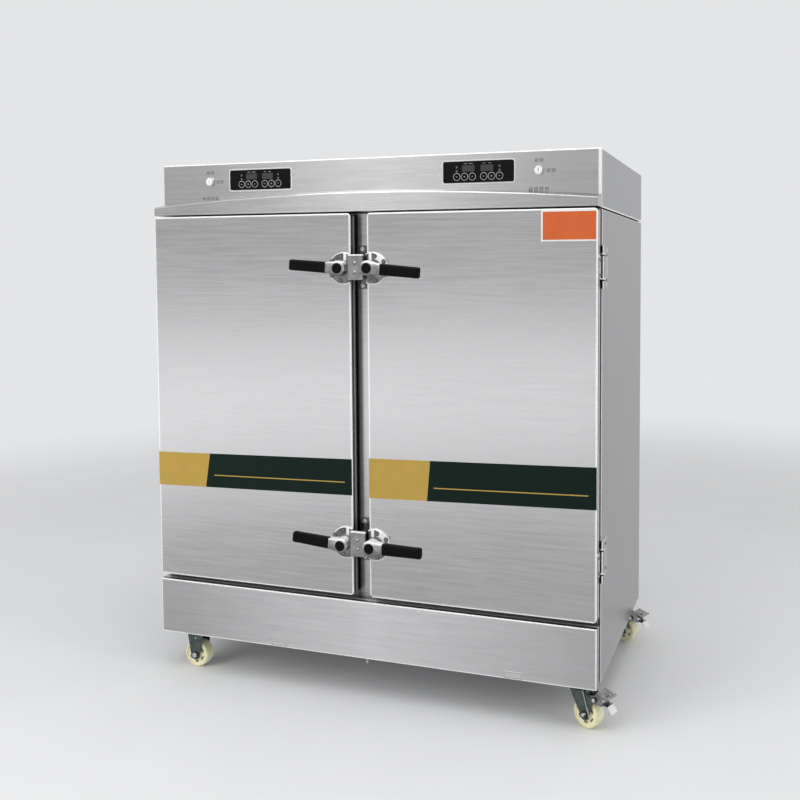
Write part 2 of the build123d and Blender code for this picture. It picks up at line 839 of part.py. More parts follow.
def head_electrics():
    """Switch bodies behind the knobs and a contactor behind each control panel."""
    pieces = []
    face = head_front + sheet
    knob_end = head_front - switch_collar - switch_knob_raise + switch_knob_depth
    for x in (-switch_x, switch_x):
        body = rod(switch_body_radius, (x, face, switch_z), (x, face + switch_body_depth, switch_z))
        bore_end = (x, knob_end + air_gap, switch_z)
        pieces.append(body - rod(switch_knob_radius + running_fit, (x, face - overrun, switch_z), bore_end))
    floor = head_bottom + sheet
    for x in (-panel_x, panel_x):
        left = x - contactor_width / 2
        right = x + contactor_width / 2
        back = contactor_y + contactor_depth
        body = block(left, right, contactor_y, back, floor, floor + contactor_height)
        body -= block(left, right, contactor_y, contactor_y + contactor_step,
                      floor + contactor_height - contactor_step, floor + contactor_height)
        body -= block(left, right, back - contactor_step, back,
                      floor + contactor_height - contactor_step, floor + contactor_height)
        pieces.append(body)
    return pieces


def cable_gland():
    """Gland for the supply cable, screwed through the back panel with a nut inside."""
    panel_in = side_back
    tip = (gland_x, cabinet_depth + gland_reach, gland_z)
    root = (gland_x, panel_in - gland_nut, gland_z)
    body = rod(gland_radius, (gland_x, cabinet_depth, gland_z), tip)
    body = fillet(edges_on(body, y=cabinet_depth + gland_reach), gland_edge)
    body += rod(gland_neck_radius, root, (gland_x, cabinet_depth, gland_z))
    body += hexagon(gland_nut_radius, root, (gland_x, panel_in, gland_z))
    return body - rod(gland_bore, root, tip)


def door_outline(inset):
    """Outline of the right door seen from the front, drawn in by an inset."""
    corner = max(door_corner - inset, sheet)
    return Pos(door_x, door_z) * RectangleRounded(door_width - inset * 2, door_height - inset * 2, corner)


def door_skin():
    """Outer skin of the right door: a folded tray with rounded corners and edges."""
    skin = front_slab(door_outline(0), door_front, door_back)
    skin = fillet(edges_on(skin, y=door_front), door_edge_bend)
    inside = front_slab(door_outline(sheet), door_front + sheet, door_back + overrun)
    return skin - fillet(edges_on(inside, y=door_front + sheet), door_edge_bend - sheet)


def liner_raised(inset, front, back):
    """The raised middle of the door liner, which reaches into the window."""
    width = chamber_width - liner_margin * 2 - inset * 2
    height = chamber_top - window_bottom - liner_margin * 2 - inset * 2
    outline = RectangleRounded(width, height, liner_corner - inset)
    return front_slab(Pos(chamber_centre, (chamber_top + window_bottom) / 2) * outline, front, back)


def door_liner():
    """Inner pan of the right door with its raised middle."""
    plate = front_slab(door_outline(sheet), door_back - sheet, door_back)
    raised = liner_raised(0, door_back - sheet, door_back + liner_raise)
    raised = fillet(edges_on(raised, y=door_back + liner_raise), bend)
    return plate + raised - liner_raised(sheet, door_back - sheet - overrun, door_back + liner_raise - sheet)


def door_foam():
    """Insulation inside the right door."""
    inset = sheet + air_gap
    front = door_front + inset
    foam = front_slab(door_outline(inset), front, door_back - inset)
    foam = fillet(edges_on(foam, y=front), door_edge_bend - sheet)
    return foam + liner_raised(inset, door_back - inset, door_back + liner_raise - inset)


def door_gasket():
    """Rubber seal round the back of the right door, just clear of the front frame."""
    ring = door_outline(gasket_margin) - door_outline(gasket_margin + gasket_width)
    return front_slab(ring, door_back, frame_front - air_gap)


def knuckle(low, high):
    """A hinge knuckle round the pin between two heights."""
    bore = pin_radius + running_fit
    return pipe(knuckle_radius, bore, (hinge_x, hinge_y, low), (hinge_x, hinge_y, high))


def pin_bore(low, high):
    """The hole of the pin through a knuckle and the leaf that joins it."""
    return rod(pin_radius + running_fit, (hinge_x, hinge_y, low), (hinge_x, hinge_y, high))


def body_hinge(height):
    """Body leaf of a right hinge with its two end knuckles, and the pin with a head at each end."""
    low = height - hinge_height / 2
    high = height + hinge_height / 2
    face = half_width + leaf_thick
    front = hinge_y + knuckle_radius + knuckle_gap
    leaf = block(half_width, face, front, body_leaf_depth, low, high)
    leaf = fillet(edges_on(leaf, y=body_leaf_depth, z=low) + edges_on(leaf, y=body_leaf_depth, z=high), leaf_corner)
    for start, end in ((low, low + end_knuckle), (high - end_knuckle, high)):
        arm = block(half_width, face, hinge_y, front, start, end)
        leaf += knuckle(start, end) + (arm - pin_bore(start, end))
    for z in (height - body_hole_spacing / 2, height + body_hole_spacing / 2):
        leaf -= rod(leaf_hole_radius, (half_width - overrun, body_hole_y, z), (face + overrun, body_hole_y, z))
    pin = rod(pin_radius, (hinge_x, hinge_y, low), (hinge_x, hinge_y, high))
    for start, end in ((low - pin_head, low), (high, high + pin_head)):
        pin += rod(pin_head_radius, (hinge_x, hinge_y, start), (hinge_x, hinge_y, end))
    return leaf, pin


def door_hinge(height):
    """Door leaf of a right hinge, on the edge of the door, with the middle knuckle."""
    half = hinge_height / 2 - end_knuckle - knuckle_gap
    low = height - half
    high = height + half
    face = half_width + leaf_thick
    front = door_front + door_leaf_front
    leaf = block(half_width, face, front, hinge_y, low, high)
    leaf = fillet(edges_on(leaf, y=front, z=low) + edges_on(leaf, y=front, z=high), leaf_corner)
    leaf = leaf - pin_bore(low, high) + knuckle(low, high)
    for z in (height - door_hole_spacing / 2, height + door_hole_spacing / 2):
        leaf -= rod(leaf_hole_radius, (half_width - overrun, door_hole_y, z), (face + overrun, door_hole_y, z))
    return leaf


def latch_base(height):
    """Latch base on the right door: a round plate cut off at the door's edge, with the pivot pin."""
    disc = front_slab(Pos(pivot_x, height) * Circle(flange_radius), latch_face, door_front)
    disc = fillet(edges_on(disc, y=latch_face), flange_edge)
    span = flange_radius * 2
    disc &= block(door_inner, door_inner + span, latch_face, door_front, height - span, height + span)
    pin_end = lever_front + cap_thick - cap_proud + pin_end_gap
    base = disc + rod(pivot_boss_radius, (pivot_x, latch_face - pivot_boss, height), (pivot_x, latch_face, height))
    base += rod(pivot_pin_radius, (pivot_x, pin_end, height), (pivot_x, latch_face, height))
    places = [(latch_hole_in_x, latch_hole_in_z), (latch_hole_out_x, latch_hole_out_z)]
    for x, z in places:
        for side in (-z, z):
            hole = (pivot_x + x, latch_face - overrun, height + side)
            base -= rod(latch_hole_radius, hole, (pivot_x + x, door_front, height + side))
    return base


def lever_places(piece, height, rise):
    """A lever piece drawn level about its pivot, turned to its rest angle and moved to the right door."""
    return Pos(pivot_x, 0, height) * Rot(0, -rise, 0) * piece


def cam():
    """The cam that faces the striker, with a nose whose tip is round about the pivot."""
    reach = pivot_x - striker_width / 2 - cam_nose_gap
    disc = front_slab(Circle(cam_radius), lever_back, cam_back)
    nose = block(-reach, 0, lever_back, cam_back, -cam_nose_height / 2, cam_nose_height / 2)
    return disc + (nose & front_slab(Circle(reach), lever_back, cam_back))


def lever_head():
    """Cast lever: boss round the pivot pin, tapered arm, tang for the grip, and the cam behind."""
    boss = front_slab(Circle(lever_boss_radius), lever_front, lever_back)
    boss = fillet(edges_on(boss, y=lever_front), lever_edge)
    arm_front = lever_front + arm_setback
    arm_back = arm_front + arm_depth
    middle = (arm_front + arm_back) / 2
    root = arm_half_height
    tip = grip_height / 2 - lever_edge / 2
    outline = make_face(Polyline((0, root), (arm_length, tip), (arm_length, -tip), (0, -root), close=True))
    arm = front_slab(outline, arm_front, arm_back)
    arm = fillet(edges_on(arm, y=arm_front), lever_edge)
    tang = block(arm_length, arm_length + tang_length, middle - tang_depth / 2, middle + tang_depth / 2,
                 -tang_height / 2, tang_height / 2)
    head = boss + arm + tang + cam()
    floor = lever_front + cap_thick - cap_proud
    head -= rod(cap_radius, (0, lever_front - overrun, 0), (0, floor, 0))
    return head - rod(pivot_pin_radius + running_fit, (0, floor - overrun, 0), (0, cam_back + overrun, 0))


def lever_grip():
    """Black grip that tapers to its end, with a pocket for the tang, and the cap on the pivot."""
    middle = lever_front + arm_setback + arm_depth / 2
    end = arm_length + grip_length
    near = RectangleRounded(grip_depth, grip_height, grip_corner)
    far = RectangleRounded(grip_end_depth, grip_end_height, grip_corner)
    faces = [Plane.YZ.offset(arm_length) * Pos(middle, 0) * near, Plane.YZ.offset(end) * Pos(middle, 0) * far]
    grip = loft(faces, ruled=True)
    grip = fillet(grip.faces().sort_by(Axis.X)[-1].edges(), grip_end_round)
    half_depth = tang_depth / 2 + tang_clearance
    half_height = tang_height / 2 + tang_clearance
    grip -= block(arm_length - overrun, arm_length + tang_length + tang_clearance, middle - half_depth,
                  middle + half_depth, -half_height, half_height)
    front = lever_front - cap_proud
    cap = rod(cap_radius, (0, front, 0), (0, front + cap_thick, 0))
    return grip, fillet(edges_on(cap, y=front), cap_edge)


def striker(height):
    """Striker block on the mullion: screwed base, neck and front plate with two rivets."""
    front = latch_face + flange_thick - striker_front
    back = front + striker_plate
    base = RectangleRounded(striker_base_width, striker_base_height, striker_corner)
    piece = front_slab(base, frame_front - striker_base, frame_front)
    piece += front_slab(Rectangle(striker_neck, striker_neck_height), back, frame_front - striker_base)
    plate = front_slab(RectangleRounded(striker_width, striker_height, striker_corner), front, back)
    piece += fillet(edges_on(plate, y=front), striker_edge)
    for z in (-striker_rivet_spacing / 2, striker_rivet_spacing / 2):
        piece += rod(striker_rivet_radius, (0, front - striker_rivet, z), (0, front, z))
    return Pos(0, 0, height) * piece


def wheel():
    """Caster wheel with a rounded tread, a sunk web and slots round the hub, on its axle line along Y."""
    half = wheel_width / 2
    body = rod(wheel_radius, (0, -half, 0), (0, half, 0))
    body = fillet(body.edges().filter_by(GeomType.CIRCLE), wheel_round)
    slot = SlotOverall(wheel_slot_length, wheel_slot_width)
    ring = Circle(rim_radius) - Circle(hub_radius)
    slots = Sketch() + [place * slot for place in PolarLocations(wheel_slot_radius, wheel_slot_count)]
    for low, high in ((-half - overrun, -half + hub_recess), (half - hub_recess, half + overrun)):
        body -= front_slab(ring, low, high)
    floor = half - hub_recess - wheel_slot_depth
    for low, high in ((-half, -floor), (floor, half)):
        body -= front_slab(slots, low, high)
    bore = axle_radius + running_fit
    return Pos(0, 0, wheel_radius) * (body - rod(bore, (0, -half - overrun, 0), (0, half + overrun, 0)))


def axle(x):
    """Axle bolt of a caster with its head and nut outside the fork."""
    leg = wheel_width / 2 + fork_gap + fork_sheet
    bolt = rod(axle_radius, (x, -leg, wheel_radius), (x, leg, wheel_radius))
    for side in (-1, 1):
        face = (x, leg * side, wheel_radius)
        bolt += hexagon(axle_head_radius, face, (x, (leg + axle_head) * side, wheel_radius))
    return bolt


def both_legs(outline):
    """The two legs of a fork, one on each side of its wheel."""
    inner = wheel_width / 2 + fork_gap
    outer = inner + fork_sheet
    return front_slab(outline, -outer, -inner) + front_slab(outline, inner, outer)


def top_plate():
    """Fixing plate of a caster under the pan, with four bolt holes."""
    outline = RectangleRounded(plate_length, plate_width, plate_corner)
    spread_x = plate_length - plate_hole_inset * 2
    spread_y = plate_width - plate_hole_inset * 2
    for place in GridLocations(spread_x, spread_y, 2, 2):
        outline -= place * Circle(plate_hole_radius)
    return flat_slab(outline, case_bottom - plate_thick, case_bottom)


def rigid_fork():
    """Fork of a rigid caster: the fixing plate and two tapered legs pressed from one sheet."""
    top = case_bottom - plate_thick
    low = wheel_radius
    legs = Polyline((-rigid_top_half, top), (rigid_top_half, top), (fork_foot_radius, low),
                    (-fork_foot_radius, low), close=True)
    outline = make_face(legs) + Pos(0, low) * Circle(fork_foot_radius)
    outline -= Pos(0, low) * Circle(axle_radius + running_fit)
    outline -= Pos(0, fork_hole_z) * Circle(fork_hole_radius)
    return both_legs(outline) + top_plate()


def swivel_plate():
    """Fixed part of a swivel caster: plate, ball race and kingpin with its nut under the fork crown."""
    race_top = case_bottom - plate_thick
    race_low = race_top - race_height
    crown_low = race_low - race_gap - crown_thick
    race = flat_slab(Circle(race_radius), race_low, race_top)
    race = fillet(edges_on(race, z=race_low), race_edge)
    nut_top = crown_low - race_gap
    piece = top_plate() - rod(kingpin_radius, (0, 0, race_top), (0, 0, case_bottom)) + race
    piece += rod(kingpin_radius, (0, 0, nut_top - kingpin_nut), (0, 0, case_bottom))
    return piece + hexagon(kingpin_nut_radius, (0, 0, nut_top - kingpin_nut), (0, 0, nut_top))


def swivel_fork():
    """Fork of a swivel caster: crown plate, two ribbed legs down to the axle, and ears for the pedal."""
    crown_top = case_bottom - plate_thick - race_height - race_gap
    crown_low = crown_top - crown_thick
    foot = swivel_trail + fork_foot_radius
    legs = Polyline((-fork_front_half, crown_low), (fork_back_half, crown_low), (pedal_pivot_x, pedal_pivot_z),
                    (foot, wheel_radius), (swivel_trail - fork_foot_radius, wheel_radius), close=True)
    outline = make_face(legs) + Pos(swivel_trail, wheel_radius) * Circle(fork_foot_radius)
    outline += Pos(pedal_pivot_x, pedal_pivot_z) * Circle(ear_radius)
    outline -= Pos(swivel_trail, wheel_radius) * Circle(axle_radius + running_fit)
    outline -= Pos(pedal_pivot_x, pedal_pivot_z) * Circle(pedal_pin_radius + running_fit)
    side = wheel_width / 2 + fork_gap + fork_sheet
    crown = flat_slab(Circle(crown_radius), crown_low, crown_top)
    crown = fillet(edges_on(crown, z=crown_top), crown_edge)
    deck = block(-fork_front_half, fork_back_half, -side, side, crown_low, crown_top - crown_edge)
    crown = crown + deck - rod(kingpin_radius + running_fit, (0, 0, crown_low), (0, 0, crown_top))
    rib_low = crown_low - fork_rib_length
    rib_end = fork_back_half + fork_rib_lean
    rib = make_face(Polyline((fork_back_half - fork_rib, crown_low), (fork_back_half, crown_low), (rib_end, rib_low),
                             (rib_end - fork_rib, rib_low), close=True))
    ribs = front_slab(rib, -side - fork_rib_proud, -side) + front_slab(rib, side, side + fork_rib_proud)
    return crown + both_legs(outline) + ribs


def pedal_tab(start, end, top, drop, width, thick):
    """A pressed tab of the pedal that slopes down from its start to its end."""
    slope = Polyline((start, top), (end, top - drop), (end, top - drop - thick), (start, top - thick), close=True)
    return front_slab(make_face(slope), -width / 2, width / 2)


def brake_pedal():
    """Brake pedal: two arms on a pin between the fork's ears, a slotted tab, a release tab and the shoe."""
    outer = wheel_width / 2 + fork_gap - pedal_side_gap
    inner = outer - pedal_sheet
    pivot = Pos(pedal_pivot_x, pedal_pivot_z)
    release_root = release_top - pedal_sheet
    arm = Polyline((pedal_pivot_x - pedal_arm_radius, pedal_pivot_z), (pedal_tab_start, pedal_tab_top),
                   (release_start + pedal_lip_radius, pedal_tab_top - pedal_sheet * 3),
                   (release_start + pedal_lip_radius, release_root - pedal_sheet), (pedal_pivot_x, release_root),
                   close=True)
    outline = make_face(arm) + pivot * Circle(pedal_arm_radius)
    pedal = front_slab(outline, -outer, -inner) + front_slab(outline, inner, outer)
    tab = pedal_tab(pedal_tab_start, pedal_tab_end, pedal_tab_top, pedal_tab_drop, pedal_tab_width, pedal_sheet)
    slot = Pos(pedal_tab_end - pedal_slot_inset, 0) * RectangleRounded(pedal_slot_width, pedal_slot_length,
                                                                     pedal_slot_corner)
    tab -= flat_slab(slot, release_top, pedal_tab_top + overrun)
    tip_z = pedal_tab_top - pedal_tab_drop
    half_tab = pedal_tab_width / 2
    lip = rod(pedal_lip_radius, (pedal_tab_end, -half_tab, tip_z), (pedal_tab_end, half_tab, tip_z))
    release = block(release_start, release_bend, -release_width / 2, release_width / 2,
                    release_top - pedal_sheet, release_top)
    release += pedal_tab(release_bend, release_end, release_top, release_drop, release_width, release_pad)
    release += block(release_start, release_start + pedal_sheet, -outer, outer,
                     release_top - pedal_sheet, release_top + pedal_sheet)
    towards = Vector(swivel_trail - pedal_pivot_x, 0, wheel_radius - pedal_pivot_z).normalized()
    shoe_line = towards.rotate(Axis.Y, shoe_angle) * shoe_distance
    shoe_x = pedal_pivot_x + shoe_line.X
    shoe_z = pedal_pivot_z + shoe_line.Z
    shoe = rod(shoe_radius, (shoe_x, -outer, shoe_z), (shoe_x, outer, shoe_z))
    ear = outer + pedal_side_gap + fork_sheet
    pin = rod(pedal_pin_radius, (pedal_pivot_x, -ear, pedal_pivot_z), (pedal_pivot_x, ear, pedal_pivot_z))
    return pedal + tab + lip + release + shoe + pin


def swivel_place(y):
    """Where a swivel caster stands, with its wheel turned a little to the front."""
    return Pos(swivel_x, y, 0) * Rot(0, 0, swivel_turn)


def build_nodes():
    """Every node of the cabinet with its pieces, before the whole is moved to its origin."""
    walls = chamber_walls()
    rails = tray_rails()
    plate = steam_plate()
    heater = heating_element()
    nodes = {
        "base_frame": [base_frame()],
        "side_panel_right": [side_panel()],
        "side_panel_left": [mirrored(side_panel())],
        "top_panel": [top_panel()],
        "back_panel": [back_panel()],
        "front_frame": front_frame(),
        "chamber_right": [floor_pan()] + walls,
        "chamber_left": [left_floor_pan()] + [mirrored(sheet_piece) for sheet_piece in walls],
        "body_insulation": [body_insulation()],
        "tray_rails_right": rails,
        "tray_rails_left": [mirrored(rail) for rail in rails],
        "steam_plates": [plate, mirrored(plate)],
        "heating_elements": [heater, mirrored(heater)],
        "feed_tank": list(feed_tank()),
        "drain_valve": [drain_valve()],
        "drain_lever": [drain_lever()],
        "outlet_pipes": outlet_pipes(),
        "service_panel": [service_panel()],
        "head_base": [head_base()],
        "head_shell": [head_shell()],
        "head_fascia": [head_fascia()],
        "head_electrics": head_electrics(),
        "cable_gland": [cable_gland()],
        "striker_blocks": [striker(height) for height in striker_z],
    }
    panel = control_panel()
    knob = switch_knob()
    nodes["control_panels"] = [panel, mirrored(panel)]
    nodes["switch_knob_right"] = [knob]
    nodes["switch_knob_left"] = [mirrored(knob)]
    leaves = []
    for height in hinge_heights:
        leaves += body_hinge(height)
    nodes["body_hinges"] = leaves + [mirrored(piece) for piece in leaves]
    add_doors(nodes)
    add_casters(nodes)
    return nodes


def add_doors(nodes):
    """The pieces of both doors and their four latch levers."""
    door = {
        "door_skin": [door_skin()],
        "door_foam": [door_foam()],
        "door_liner": [door_liner()],
        "door_gasket": [door_gasket()],
        "door_hinges": [door_hinge(height) for height in hinge_heights],
        "latch_bases": [latch_base(height) for height in latch_heights],
    }
    for name, pieces in door.items():
        nodes[name + "_right"] = pieces
        nodes[name + "_left"] = [mirrored(piece) for piece in pieces]
    head = lever_head()
    grip = lever_grip()
    for level, height in zip(("top", "bottom"), latch_heights):
        for side in ("left", "right"):
            place = level + "_" + side
            pieces = [lever_places(piece, height, lever_rise[place]) for piece in (head, *grip)]
            if side == "left":
                pieces = [mirrored(piece) for piece in pieces]
            nodes["lever_" + place] = pieces[:1]
            nodes["grip_" + place] = pieces[1:]


def add_casters(nodes):
    """The four casters: rigid ones on the left, swivel ones with brakes on the right."""
    rows = {"front": front_caster_y, "rear": rear_caster_y}
    nodes["rigid_forks"] = [Pos(rigid_x, y, 0) * rigid_fork() for y in rows.values()]
    nodes["rigid_axles"] = [Pos(rigid_x, y, 0) * axle(0) for y in rows.values()]
    nodes["swivel_plates"] = [Pos(swivel_x, y, 0) * swivel_plate() for y in rows.values()]
    for row, y in rows.items():
        place = swivel_place(y)
        nodes["wheel_" + row + "_left"] = [Pos(rigid_x, y, 0) * wheel()]
        nodes["wheel_" + row + "_right"] = [place * Pos(swivel_trail, 0, 0) * wheel()]
        nodes["swivel_fork_" + row] = [place * swivel_fork(), place * axle(swivel_trail)]
        nodes["brake_pedal_" + row] = [place * brake_pedal()]


nodes = {}
for name, pieces in build_nodes().items():
    nodes[name] = Compound([solid for piece in pieces for solid in piece.solids()])
extent = Compound(list(nodes.values())).bounding_box()
origin = Pos(-extent.center().X, -extent.center().Y, 0)

os.makedirs("parts", exist_ok=True)
for name, shape in nodes.items():
    export_step(origin * shape, "parts/" + name + ".step")
print(len(nodes), "nodes, origin moved by", round(extent.center().X, 4), round(extent.center().Y, 4))
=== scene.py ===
"""How the rice steamer cabinet looks: finishes, fasteners, printed places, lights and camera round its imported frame."""

from math import pi, radians

import bmesh
import bpy
import numpy as np
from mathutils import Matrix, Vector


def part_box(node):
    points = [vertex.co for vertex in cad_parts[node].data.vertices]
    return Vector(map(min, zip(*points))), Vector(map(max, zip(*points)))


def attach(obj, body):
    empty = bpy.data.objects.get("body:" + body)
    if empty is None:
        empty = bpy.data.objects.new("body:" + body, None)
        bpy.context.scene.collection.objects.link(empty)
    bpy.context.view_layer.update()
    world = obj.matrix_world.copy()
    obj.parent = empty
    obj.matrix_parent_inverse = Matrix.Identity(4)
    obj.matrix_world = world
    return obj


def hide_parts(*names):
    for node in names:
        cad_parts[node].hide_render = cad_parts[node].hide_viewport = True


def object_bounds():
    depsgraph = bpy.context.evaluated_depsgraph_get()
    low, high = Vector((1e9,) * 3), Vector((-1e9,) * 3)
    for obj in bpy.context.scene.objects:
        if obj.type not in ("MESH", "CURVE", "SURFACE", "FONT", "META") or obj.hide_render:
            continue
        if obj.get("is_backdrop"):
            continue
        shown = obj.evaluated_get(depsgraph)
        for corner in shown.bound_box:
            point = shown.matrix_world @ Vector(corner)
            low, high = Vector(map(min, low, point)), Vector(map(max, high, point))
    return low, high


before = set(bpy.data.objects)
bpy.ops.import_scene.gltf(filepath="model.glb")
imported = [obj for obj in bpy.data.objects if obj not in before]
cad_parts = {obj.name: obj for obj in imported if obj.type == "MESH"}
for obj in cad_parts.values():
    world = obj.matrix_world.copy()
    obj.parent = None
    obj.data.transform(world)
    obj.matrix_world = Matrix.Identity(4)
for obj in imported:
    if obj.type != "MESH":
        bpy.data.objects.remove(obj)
cad_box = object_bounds()


# Camera: in front of the cabinet and to its right, a little under its top, looking slightly down.
# Its place was solved from the cabinet's own edges.
camera_lens = bpy.data.cameras.new("camera")
camera_lens.sensor_width = 36
camera_lens.lens = 38.53
camera_lens.shift_x = -0.1625
camera_lens.shift_y = -0.105
camera = bpy.data.objects.new("camera", camera_lens)
camera.location = (1.132121, -2.524, 1.226)
camera.rotation_euler = (radians(87.216), 0, radians(16.509))
bpy.context.scene.collection.objects.link(camera)
bpy.context.scene.camera = camera
bpy.context.scene.view_settings.view_transform = "Standard"


# Studio: a plain pale floor that runs out into the plain room colour, soft lamps over and beside the cabinet, and
# a world that the bare steel mirrors as a room with a bright band low all round.
floor_reach = 40.0
floor_colour = (0.76, 0.765, 0.775)
room_colour = (0.78, 0.785, 0.795)
floor_fade = (1.9, 5.2)


def feed(node, name, value):
    """Links a socket to one of a node's inputs."""
    node.id_data.links.new(value, node.inputs[name])


def add_node(kind, sockets=(), tree=None, **settings):
    """One shader node: a socket given another socket is linked to it, and any other value is written on it. With no
    tree named, it stands in the tree of the sockets that it is given."""
    sockets = dict(sockets)
    given = [value for value in sockets.values() if isinstance(value, bpy.types.NodeSocket)]
    made = (tree or given[0].id_data).nodes.new(kind if kind.startswith("NodeGroup") else "ShaderNode" + kind)
    for name, value in settings.items():
        setattr(made, name, value)
    for key, value in sockets.items():
        if isinstance(value, bpy.types.NodeSocket):
            feed(made, key, value)
        else:
            made.inputs[key].default_value = value
    return made


def number(operation, *values, **settings):
    """One step of arithmetic on numbers, as the socket that holds its result."""
    return add_node("Math", enumerate(values), operation=operation, **settings).outputs[0]


def vector(operation, *values):
    """One step of arithmetic on vectors or colours. A scaling takes its factor last."""
    keys = (0, "Scale") if operation == "SCALE" else (0, 1)
    made = add_node("VectorMath", zip(keys, values), operation=operation)
    return made.outputs["Value" if operation in ("LENGTH", "DOT_PRODUCT") else "Vector"]


def ramped(value, source=(0, 1), target=(0, 1), **settings):
    """A number carried in a straight line from one range to another, and held at both ends."""
    keys = ("Value", "From Min", "From Max", "To Min", "To Max")
    return add_node("MapRange", zip(keys, (value, *source, *target)), **settings).outputs["Result"]


def axes(value):
    """The three numbers of a vector, under the names X, Y and Z."""
    return add_node("SeparateXYZ", {0: value}).outputs


def laid_over(mask, below, above):
    """One colour over another where the mask is 1."""
    return add_node("Mix", {0: mask, 6: below, 7: above}, data_type="RGBA").outputs[2]


def noise(place, scale, detail=2.0, rough=0.5):
    """Cloudy noise about one half."""
    keys = ("Vector", "Scale", "Detail", "Roughness")
    return add_node("TexNoise", zip(keys, (place, scale, detail, rough))).outputs["Fac"]


def graded(value, stops, level=1.0, blue=1.0):
    """A colour ramp through stops of a place and a brightness, which is times a level and, in its blue, once more."""
    ramp = add_node("ValToRGB", {"Fac": value})
    for stop, bright in stops[1:-1]:
        ramp.color_ramp.elements.new(stop)
    for element, (stop, bright) in zip(ramp.color_ramp.elements, stops):
        element.position = stop
        element.color = (bright * level, bright * level, bright * level * blue, 1)
    return ramp


def plain_finish(name, colour, metallic=0.0, roughness=0.5, **sockets):
    """A material with its Principled shader, whose constants stand on its own sockets, and its Object coordinates."""
    made = bpy.data.materials.new(name)
    made.use_nodes = True
    shader = made.node_tree.nodes["Principled BSDF"]
    shader.inputs["Base Color"].default_value = (*colour, 1)
    shader.inputs["Metallic"].default_value = metallic
    shader.inputs["Roughness"].default_value = roughness
    for key, value in sockets.items():
        shader.inputs[key.replace("_", " ")].default_value = value
    place = add_node("TexCoord", tree=made.node_tree).outputs["Object"]
    return made, shader, place


floor_finish, shader, place = plain_finish("studio_floor", floor_colour, roughness=0.7)
tree = floor_finish.node_tree
tint = ramped(noise(place, 3.0, 3.0), (0, 1), (0.97, 1.03))
feed(shader, "Base Color", vector("SCALE", floor_colour, tint))
far = ramped(vector("LENGTH", place), floor_fade, interpolation_type="SMOOTHSTEP")
far_and_seen = number("MULTIPLY", far, add_node("LightPath", tree=tree).outputs["Is Camera Ray"])
plain = add_node("Emission", {"Color": (*room_colour, 1), "Strength": 1.0}, tree)
ground = add_node("MixShader", {0: far_and_seen, 1: shader.outputs[0], 2: plain.outputs[0]})
feed(tree.nodes["Material Output"], "Surface", ground.outputs[0])
floor_mesh = bpy.data.meshes.new("floor")
corners = [(x * floor_reach, y * floor_reach, 0) for x, y in ((-1, -1), (1, -1), (1, 1), (-1, 1))]
floor_mesh.from_pydata(corners, [], [(0, 1, 2, 3)])
floor_mesh.materials.append(floor_finish)
floor = bpy.data.objects.new("floor", floor_mesh)
floor.visible_glossy = False
bpy.context.scene.collection.objects.link(floor)
floor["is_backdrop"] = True

world = bpy.data.worlds.new("studio")
world.use_nodes = True
bpy.context.scene.world = world
tree = world.node_tree
tree.nodes.clear()
height = axes(add_node("TexCoord", tree=tree).outputs["Generated"])
rise = ramped(height["Z"], (-1.0, 1))
front_stops = ((0.0, 0.5), (0.27, 0.66), (0.315, 0.5), (0.35, 0.32), (0.385, 0.84), (0.415, 1.62), (0.447, 1.5),
               (0.49, 0.47), (0.535, 0.33), (0.575, 0.78), (0.68, 0.8), (1.0, 1.0))
back_stops = ((0.0, 0.36), (0.34, 0.56), (0.5, 0.62), (0.7, 0.7), (1.0, 1.0))
ahead_room, back_room = (graded(rise, stops, 0.5, 1.01).outputs["Color"] for stops in (front_stops, back_stops))
behind = ramped(height["Y"], (-0.35, 0.35), interpolation_type="SMOOTHSTEP")
mirror_ramp = laid_over(behind, ahead_room, back_room)
bearing = number("ARCTAN2", height["X"], number("MULTIPLY", height["Y"], -1.0))
turn = ramped(bearing, (-pi, pi))
window_stops = ((0.0, 1.0), (0.478, 1.0), (0.508, 0.6), (0.64, 0.6), (0.68, 1.7), (0.845, 1.7), (0.905, 1.0),
                (1.0, 1.0))
windows = graded(turn, window_stops, 0.5)
above = ramped(number("ABSOLUTE", height["Z"]), (0.5, 0.85))
gain = laid_over(above, windows.outputs["Color"], (0.5, 0.5, 0.5, 1))
mirrored_room = vector("MULTIPLY", mirror_ramp, gain)
paths = add_node("LightPath", tree=tree).outputs
seen = number("MAXIMUM", paths["Is Camera Ray"], paths["Is Transmission Ray"])
soft = add_node("Background", {"Color": (1, 1, 1, 1), "Strength": 0.5}, tree)
mirrored = add_node("Background", {"Color": mirrored_room, "Strength": 4.0})
shown = add_node("Background", {"Color": (*room_colour, 1), "Strength": 1.0}, tree)
for_steel = add_node("MixShader", {0: paths["Is Glossy Ray"], 1: soft.outputs[0], 2: mirrored.outputs[0]})
for_all = add_node("MixShader", {0: seen, 1: for_steel.outputs[0], 2: shown.outputs[0]})
add_node("OutputWorld", {"Surface": for_all.outputs[0]})

lamps = (("overhead_lamp", (0.2, -0.7, 3.6), (0.0, -0.1, 0.8), 3.2, 60),
         ("left_lamp", (-2.9, -3.4, 2.6), (0.0, -0.2, 0.8), 2.8, 80),
         ("right_lamp", (3.6, -0.2, 2.4), (0.5, 0.0, 0.8), 2.2, 30))
for name, spot, target, size, power in lamps:
    light = bpy.data.lights.new(name, "AREA")
    light.size = size
    light.energy = power
    lamp = bpy.data.objects.new(name, light)
    lamp.location = spot
    aim = np.subtract(spot, target)
    lamp.rotation_euler = (np.arctan2(np.hypot(aim[0], aim[1]), aim[2]), 0, np.arctan2(aim[0], -aim[1]))
    lamp.visible_glossy = name == "overhead_lamp"
    bpy.context.scene.collection.objects.link(lamp)


